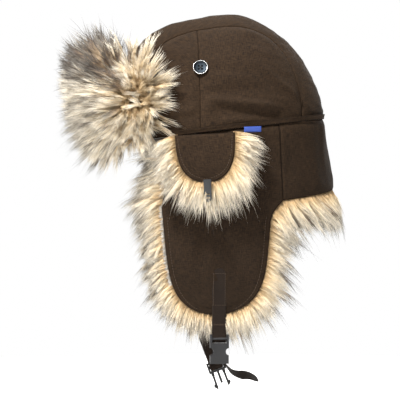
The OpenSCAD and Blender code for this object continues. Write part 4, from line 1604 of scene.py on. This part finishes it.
def make_cover_fur():
    rng = np.random.default_rng(201)
    s = 0.999 * np.sin(np.linspace(0, math.pi / 2, 200))
    right = on_cover(cover_half(s), s * COVER_LEN, np.zeros(200))
    left = on_cover(-cover_half(s), s * COVER_LEN, np.zeros(200))
    line = np.concatenate([left, right[::-1]])
    inward = unit(cover_vector(np.array(0.0), np.array(0.0), np.array(-1.0)))
    middle = on_cover(np.array(0.0), np.array(20.0), np.array(0.0))
    out = edge_outward(line, np.tile(-inward, (len(line), 1)), middle)
    inner = np.tile(inward, (len(line), 1))
    down = np.concatenate([s, s[::-1]])
    comb = DOWN * (0.62 - 0.35 * smoothstep(0.6, 1.0, down))[:, None]
    split = np.sign(line[:, 1:2] - (middle[1] + 1.0)) * smoothstep(0.9, 1.0, down)[:, None]
    comb = comb + np.array([0.0, 0.22, 0.0]) * split
    size = 32.0 + 7.0 * smoothstep(0.3, 0.95, down) + 1.5 * np.sign(line[:, 1] - middle[1])
    tone = 0.08 + 0.08 * soft_noise(line, 14.0, 54)
    locks = Locks()
    rows = [
        (0.2, -0.42, 0.8), (0.8, -0.28, 0.95), (2.0, -0.12, 1.05),
        (3.5, 0.0, 1.08), (5.5, 0.12, 1.0),
    ]
    rim_locks(locks, line, out, inner, comb, size, tone, rng, rows, 2.4, 2.5)
    sparse = [(2.0, 0.0, 1.1)]
    rim_locks(locks, line, out, inner, comb, size, tone + 0.6, rng, sparse, 7.0)
    wide = cover_half(s[::6])[:, None] * np.linspace(-1, 1, 21)[None, :] * 0.9
    long = np.repeat((5.0 + s[::6] * (COVER_LEN * 0.94 - 5.0))[:, None], 21, 1)
    grid = on_cover(wide, long, np.zeros_like(wide))
    root = scattered(grid, 0.05, rng)[0]
    n = len(root)
    start = inward * 0.6 + DOWN * 0.8 + rng.normal(0, 0.2, (n, 3))
    end = inward * 0.12 + DOWN + rng.normal(0, 0.2, (n, 3))
    locks.add(root, start, end, 15.0 + 6.0 * rng.random(n), 0.15, spread=2.0, clump=0.7, droop=0.1)
    for side in SIDES:
        piece = fur_mesh(f"ear_cover_pile_{side}", locks_on(locks, side), 17, 210, width=0.5, rings=5)
        ride(piece, f"ear_cover_{side}", "faux_fur", f"ear_cover_fur_{side}")
        back = grid + inward * (2.2 + 0.7 * soft_noise(grid, 8.0, 55))[..., None]
        finish = (UNDERCOAT, f"ear_cover_{side}", "faux_fur")
        name, under = f"ear_cover_undercoat_{side}", f"ear_cover_cloth_{side}"
        lay_cloth(name, on_side(back, side), 3.4, finish, "hung", under, hem=2.0)


def lining_locks(grid, normals, rng, density, tone, comb, length=24.0):
    """Pile on the inner face of a lining."""
    locks = Locks()
    root, normal = scattered(grid, density, rng, normals)
    normal = unit(normal)
    root = root - normal * 3.2
    n = len(root)
    start = -normal * 0.6 + comb + rng.normal(0, 0.12, (n, 3))
    end = -normal * 0.2 + comb * 1.2 + rng.normal(0, 0.16, (n, 3))
    size = length * (0.75 + 0.4 * rng.random(n))
    locks.add(root, start, end, size, tone + rng.normal(0, 0.1, n), spread=2.2, clump=0.7, droop=0.1)
    return locks


def side_rim_locks(rng):
    """Locks along the front edge, the round end and the back edge of the left side's cloth."""
    grid = side_grid(CLOTH_T + 1.4)
    normals = grid_normals(grid)
    inner_face = side_outer - grid_normals(side_outer) * CLOTH_T
    front_rows = side_outer[:, 0, 2] < -9.0
    back_rows = side_outer[:, -1, 2] < SIDE_LOW - 1.5
    line = np.concatenate([inner_face[front_rows, 0], inner_face[back_rows, -1][::-1]])
    sheet_normal = np.concatenate([normals[front_rows, 0], normals[back_rows, -1][::-1]])
    out = edge_outward(line, sheet_normal, np.array([85.0, -16.0, -110.0]))
    behind = np.concatenate([np.zeros(front_rows.sum()), np.ones(back_rows.sum())])
    z = line[:, 2]
    upper = smoothstep(-110.0, -80.0, z)
    low = smoothstep(-150.0, -190.0, z)
    front_size = 31.0 + 9.0 * upper + 1.0 * low
    back_size = 33.0 + 10.0 * smoothstep(-120.0, -84.0, z) + 2.0 * low
    size = front_size + (back_size - front_size) * behind
    corner = behind * smoothstep(-125.0, -80.0, z)
    comb = np.stack([0.0 * z, 0.12 + 0.1 * behind, -0.6 - 0.15 * upper - 0.35 * corner], 1)
    cloud = soft_noise(line, 16.0, 56)
    tone = 0.1 + 0.12 * cloud + 0.06 * (1.0 - behind) * (1.0 - upper)
    locks = Locks()
    rows = [
        (0.2, -0.34, 0.72), (0.8, -0.18, 0.92), (2.0, -0.02, 1.04),
        (4.0, 0.2, 1.08), (6.5, 0.45, 1.08), (9.0, 0.8, 1.0),
    ]
    rim_locks(locks, line, out, -sheet_normal, comb, size, tone, rng, rows, 3.0, 2.6)
    dark = [(2.0, 0.1, 1.08), (5.0, 0.5, 1.06), (8.0, 0.9, 1.06)]
    size = size + 3.0 + 6.0 * behind
    rim_locks(locks, line, out, -sheet_normal, comb, size, tone + 0.65, rng, dark, 6.0)
    return locks


def fleece_locks(rng):
    """A line of short pale wool that shows along the front edge of the left side."""
    rows = (side_outer[:, 0, 2] < -80.0) & (side_outer[:, 0, 2] > -168.0)
    line = side_outer[rows, 0]
    normal = grid_normals(side_outer)[rows, 0]
    out = edge_outward(line, normal, np.array([85.0, -16.0, -110.0]))
    locks = Locks()
    for inset in (0.0, 0.8):
        root, away, up = along_edge(line, 0.9, rng, out, normal)
        n = len(root)
        start = unit(away) * 0.8 + unit(up) * 0.35 + rng.normal(0, 0.3, (n, 3))
        root = root - unit(up) * (1.0 + inset)
        size = 3.6 + 1.6 * rng.random(n)
        locks.add(root, start, start + DOWN * 0.4, size, 0.2, spread=0.8, clump=0.3, droop=0.1)
    return locks


def make_side_fur():
    rng = np.random.default_rng(301)
    grid = side_grid(CLOTH_T + 1.4)
    normals = grid_normals(grid)
    rims = side_rim_locks(rng)
    fleece = fleece_locks(rng)
    inside = lining_locks(grid[3:-2, 2:-2], normals[3:-2, 2:-2], rng, 0.055, 0.2, DOWN * 0.8)
    for side in SIDES:
        piece = fur_mesh(f"side_rim_pile_{side}", locks_on(rims, side), 16, 310, width=0.52, rings=5)
        across_fold(piece, side, "faux_fur", f"ear_panel_fur_{side}", f"ear_flap_fur_{side}")
        piece = fur_mesh(f"side_lining_pile_{side}", locks_on(inside, side), 8, 320, width=0.8, rings=5)
        across_fold(piece, side, "faux_fur")
        piece = fur_mesh(f"side_fleece_{side}", locks_on(fleece, side), 6, 330, 0.5, 4, FLEECE, 0.3)
        across_fold(piece, side, "faux_fur")
        under = side_grid(CLOTH_T + 1.6, 41)
        under = under - grid_normals(under) * (1.2 + 0.8 * soft_noise(under, 8.0, 57))[..., None]
        under = under[3:-1, 1:-1]
        shape = on_side(under, side)
        piece = cloth_shell(f"side_undercoat_{side}", shape, 3.6, hem=2.0)
        paint(piece, UNDERCOAT)
        across_fold(piece, side, "faux_fur")
        declare_sheet(shape)


def make_neck_fur():
    rng = np.random.default_rng(401)
    grid = neck_grid(CLOTH_T + 1.4)
    normals = grid_normals(grid)
    line = neck_outer[-1] - grid_normals(neck_outer)[-1] * CLOTH_T
    out = edge_outward(line, normals[-1], np.array([0.0, 60.0, 0.0]))
    turn = np.linspace(SIDE_TURN, 360.0 - SIDE_TURN, len(line))
    sideways = np.abs(np.sin(np.radians(turn)))
    backward = np.stack([0.0 * turn, 0.3 + 0.75 * sideways, -0.25 + 0.0 * turn], 1)
    cloud = soft_noise(line, 18.0, 59)
    tone = 0.1 + 0.1 * cloud
    size = 44.0 + 4.0 * cloud
    rims = Locks()
    rows = [
        (0.2, -0.4, 0.78), (0.8, -0.24, 0.92), (2.0, -0.06, 1.02),
        (4.0, 0.14, 1.06), (6.5, 0.36, 1.06), (9.0, 0.62, 1.0),
    ]
    rim_locks(rims, line, out, -normals[-1], backward, size, tone, rng, rows, 2.7, 2.3)
    dark = [(2.0, 0.0, 1.08), (5.0, 0.3, 1.06), (8.0, 0.6, 1.04)]
    rim_locks(rims, line, out, -normals[-1], backward, size + 3.0, tone + 0.65, rng, dark, 5.0)
    piece = fur_mesh("neck_rim_pile", rims, 16, 410, width=0.55, rings=5)
    ride(piece, "hat_body", "faux_fur", "neck_fur")
    inside = lining_locks(grid[4:, :], normals[4:, :], rng, 0.05, 0.2, DOWN * 0.8)
    piece = fur_mesh("neck_lining_pile", inside, 8, 420, width=0.8, rings=5)
    ride(piece, "hat_body", "faux_fur")
    under = neck_grid(CLOTH_T + 1.6, 25, 81)
    under = under - grid_normals(under) * (1.2 + 0.8 * soft_noise(under, 8.0, 58))[..., None]
    finish = (UNDERCOAT, "hat_body", "faux_fur")
    lay_cloth("neck_undercoat", under[2:], 3.6, finish, "hung", "neck_cloth", hem=2.0)


make_visor_fur()
make_cover_fur()
make_side_fur()
make_neck_fur()


# ---- Straps and buckle
FLAP_BOTTOM = FOLD_Z - FLAP_LEN
STRAP_SEWN = 43.0
STRAP_LIFT = 0.5
BAR_R = 1.5
LEFT_FREE = 24.0
RIGHT_DROP = 34.0
RIGHT_LEN = 34.0
RIGHT_TILT = math.radians(20.0)


def strap_face(z):
    """X of the flap's outer face under the strap."""
    return float(wall_x(wall_turn(np.array(STRAP_Y)), 0.0)) - SIDE_LEAN * (seam_height(STRAP_Y) - z)


HANG_X = strap_face(FLAP_BOTTOM) + STRAP_LIFT + STRAP_T / 2
HANG_Z = FLAP_BOTTOM - 1.0


def smooth_path(points, count):
    """Evenly spaced points on a Catmull-Rom curve through the given ones."""
    points = np.array(points, float)
    padded = np.concatenate([[2 * points[0] - points[1]], points, [2 * points[-1] - points[-2]]])
    fine = []
    for i in range(len(points) - 1):
        p0, p1, p2, p3 = padded[i:i + 4]
        for t in np.linspace(0, 1, 16, endpoint=False):
            fine.append(0.5 * (
                2 * p1 + (p2 - p0) * t + (2 * p0 - 5 * p1 + 4 * p2 - p3) * t ** 2
                + (3 * p1 - p0 - 3 * p2 + p3) * t ** 3
            ))
    fine = np.array(fine + [points[-1]])
    along = np.concatenate([[0.0], np.cumsum(np.linalg.norm(np.diff(fine, axis=0), axis=1))])
    at = np.linspace(0, along[-1], count)
    return between(at, along, fine), at


def ribbon_grid(points, across, half, columns=13):
    """A strip along points whose rows run along the across directions."""
    part = np.linspace(-1.0, 1.0, columns)
    return points[:, None, :] + across[:, None, :] * (half[:, None] * part[None, :])[..., None]


def make_strap(side):
    """Webbing from its sewn, rounded top on the flap to the loop round the buckle's bar."""
    top = FLAP_BOTTOM + STRAP_SEWN
    face = STRAP_LIFT + STRAP_T
    path = [(strap_face(z) + face, z) for z in (top + STRAP_W / 2 - 0.3, top, top - 20, FLAP_BOTTOM + 4)]
    drop = LEFT_FREE if side == "left" else RIGHT_DROP + RIGHT_LEN
    bar = HANG_Z - drop
    outer = BAR_R + 0.2 + STRAP_T
    path += [(HANG_X + 0.9, HANG_Z - 3.0), (HANG_X + 0.9, bar + 13.0), (HANG_X + 1.6, bar + 6.0)]
    for a in (20, -20, -60, -90, -120, -160, -200):
        turn = math.radians(a)
        path.append((HANG_X + outer * math.cos(turn), bar + (outer + 1.1) * math.sin(turn)))
    path += [(HANG_X - 1.3, bar + 6.0), (HANG_X - 0.9, bar + 12.0), (HANG_X - 0.9, bar + 17.0)]
    points, at = smooth_path([(x, STRAP_Y, z) for x, z in path], 110)
    across = np.tile([0.0, 1.0, 0.0], (len(points), 1))
    if side == "right":
        bend = HANG_Z - RIGHT_DROP
        low = smoothstep(bend + 7.0, bend - 7.0, points[:, 2])
        turned = turn_about(points - np.array([HANG_X, STRAP_Y, bend]), "x", RIGHT_TILT)
        turned = turned + np.array([HANG_X, STRAP_Y, bend])
        points = points * (1 - low)[:, None] + turned * low[:, None]
        across = unit(np.array([0.0, 1.0, 0.0]) * (1 - low)[:, None] + low[:, None] * np.array([
            0.0, math.cos(RIGHT_TILT), math.sin(RIGHT_TILT),
        ]))
    reach = STRAP_W / 2
    half = np.sqrt(np.clip(reach ** 2 - np.clip(reach - at, 0, reach) ** 2, 0.3, None))
    grid = ribbon_grid(points, across, half)
    grid = grid + grid_normals(grid) * (0.18 * soft_noise(grid, 10.0, 61))[..., None]
    shape = on_side(grid, side)
    piece = cloth_shell(f"chin_strap_webbing_{side}", shape, STRAP_T, hem=0.5)
    paint(piece, WEBBING)
    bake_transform(piece)
    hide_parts(f"strap_anchor_{side}", f"chin_strap_{side}")
    declare_sheet(shape)
    # A box of stitches on the flap, and a bar of them above the buckle's loop
    normals = grid_normals(shape)
    box = np.nonzero((at > 5.0) & (at < 40.0))[0]
    lines = [(shape[box, c] + 0.1 * normals[box, c], normals[box, c]) for c in (1, 11)]
    lines += [(shape[r] + 0.1 * normals[r], normals[r]) for r in (box[0], box[-1])]
    flap = f"ear_flap_{side}"
    stitches(f"strap_box_stitches_{side}", lines, flap, pitch=2.4, length=1.8, radius=0.2)
    loop = np.argmin(np.abs(shape[:70, 6, 2] - (bar + 15.0)))
    lines = [(shape[r, 1:12] + 0.1 * normals[r, 1:12], normals[r, 1:12]) for r in (loop, loop + 1)]
    stitches(f"strap_bar_stitches_{side}", lines, f"strap_{side}", pitch=1.6, length=1.5, radius=0.2)


def make_strap_tail():
    """The loose end of the right strap, which leaves the plug flat and turns on edge."""
    middle = np.array([-HANG_X, STRAP_Y, HANG_Z - RIGHT_DROP - RIGHT_LEN])
    path = [(18, 7.5), (21, 4.5), (24.5, 0.5), (30, -5), (38, -8), (48, -9.2), (55, -12), (60, -16)]
    points, at = smooth_path([middle + np.array([0.0, y, z - 0.8]) for y, z in path], 60)
    share = at / at[-1]
    twist = np.radians(np.interp(share, [0.0, 0.25, 0.6, 1.0], [0.0, 12.0, 38.0, 16.0]))
    tangent = unit(np.gradient(points, axis=0))
    sideways = np.array([1.0, 0.0, 0.0])
    upright = unit(np.cross(tangent, sideways))
    across = sideways * np.cos(twist)[:, None] + upright * np.sin(twist)[:, None]
    half = STRAP_W / 2 * (1.0 - 0.75 * smoothstep(0.9, 1.0, share))
    grid = ribbon_grid(points, across, half)
    finish = (WEBBING, "strap_right", "webbing")
    name, thickness = "chin_strap_tail_webbing", STRAP_T - 0.3
    lay_cloth(name, grid, thickness, finish, "hung", "buckle_plug", "strap_tail", hem=0.5)


def make_hardware():
    for node in ("buckle_socket", "buckle_plug", "buckle_latch_front", "buckle_latch_back"):
        paint(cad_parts[node], BUCKLE)
    make_strap("left")
    make_strap("right")
    make_strap_tail()


make_hardware()
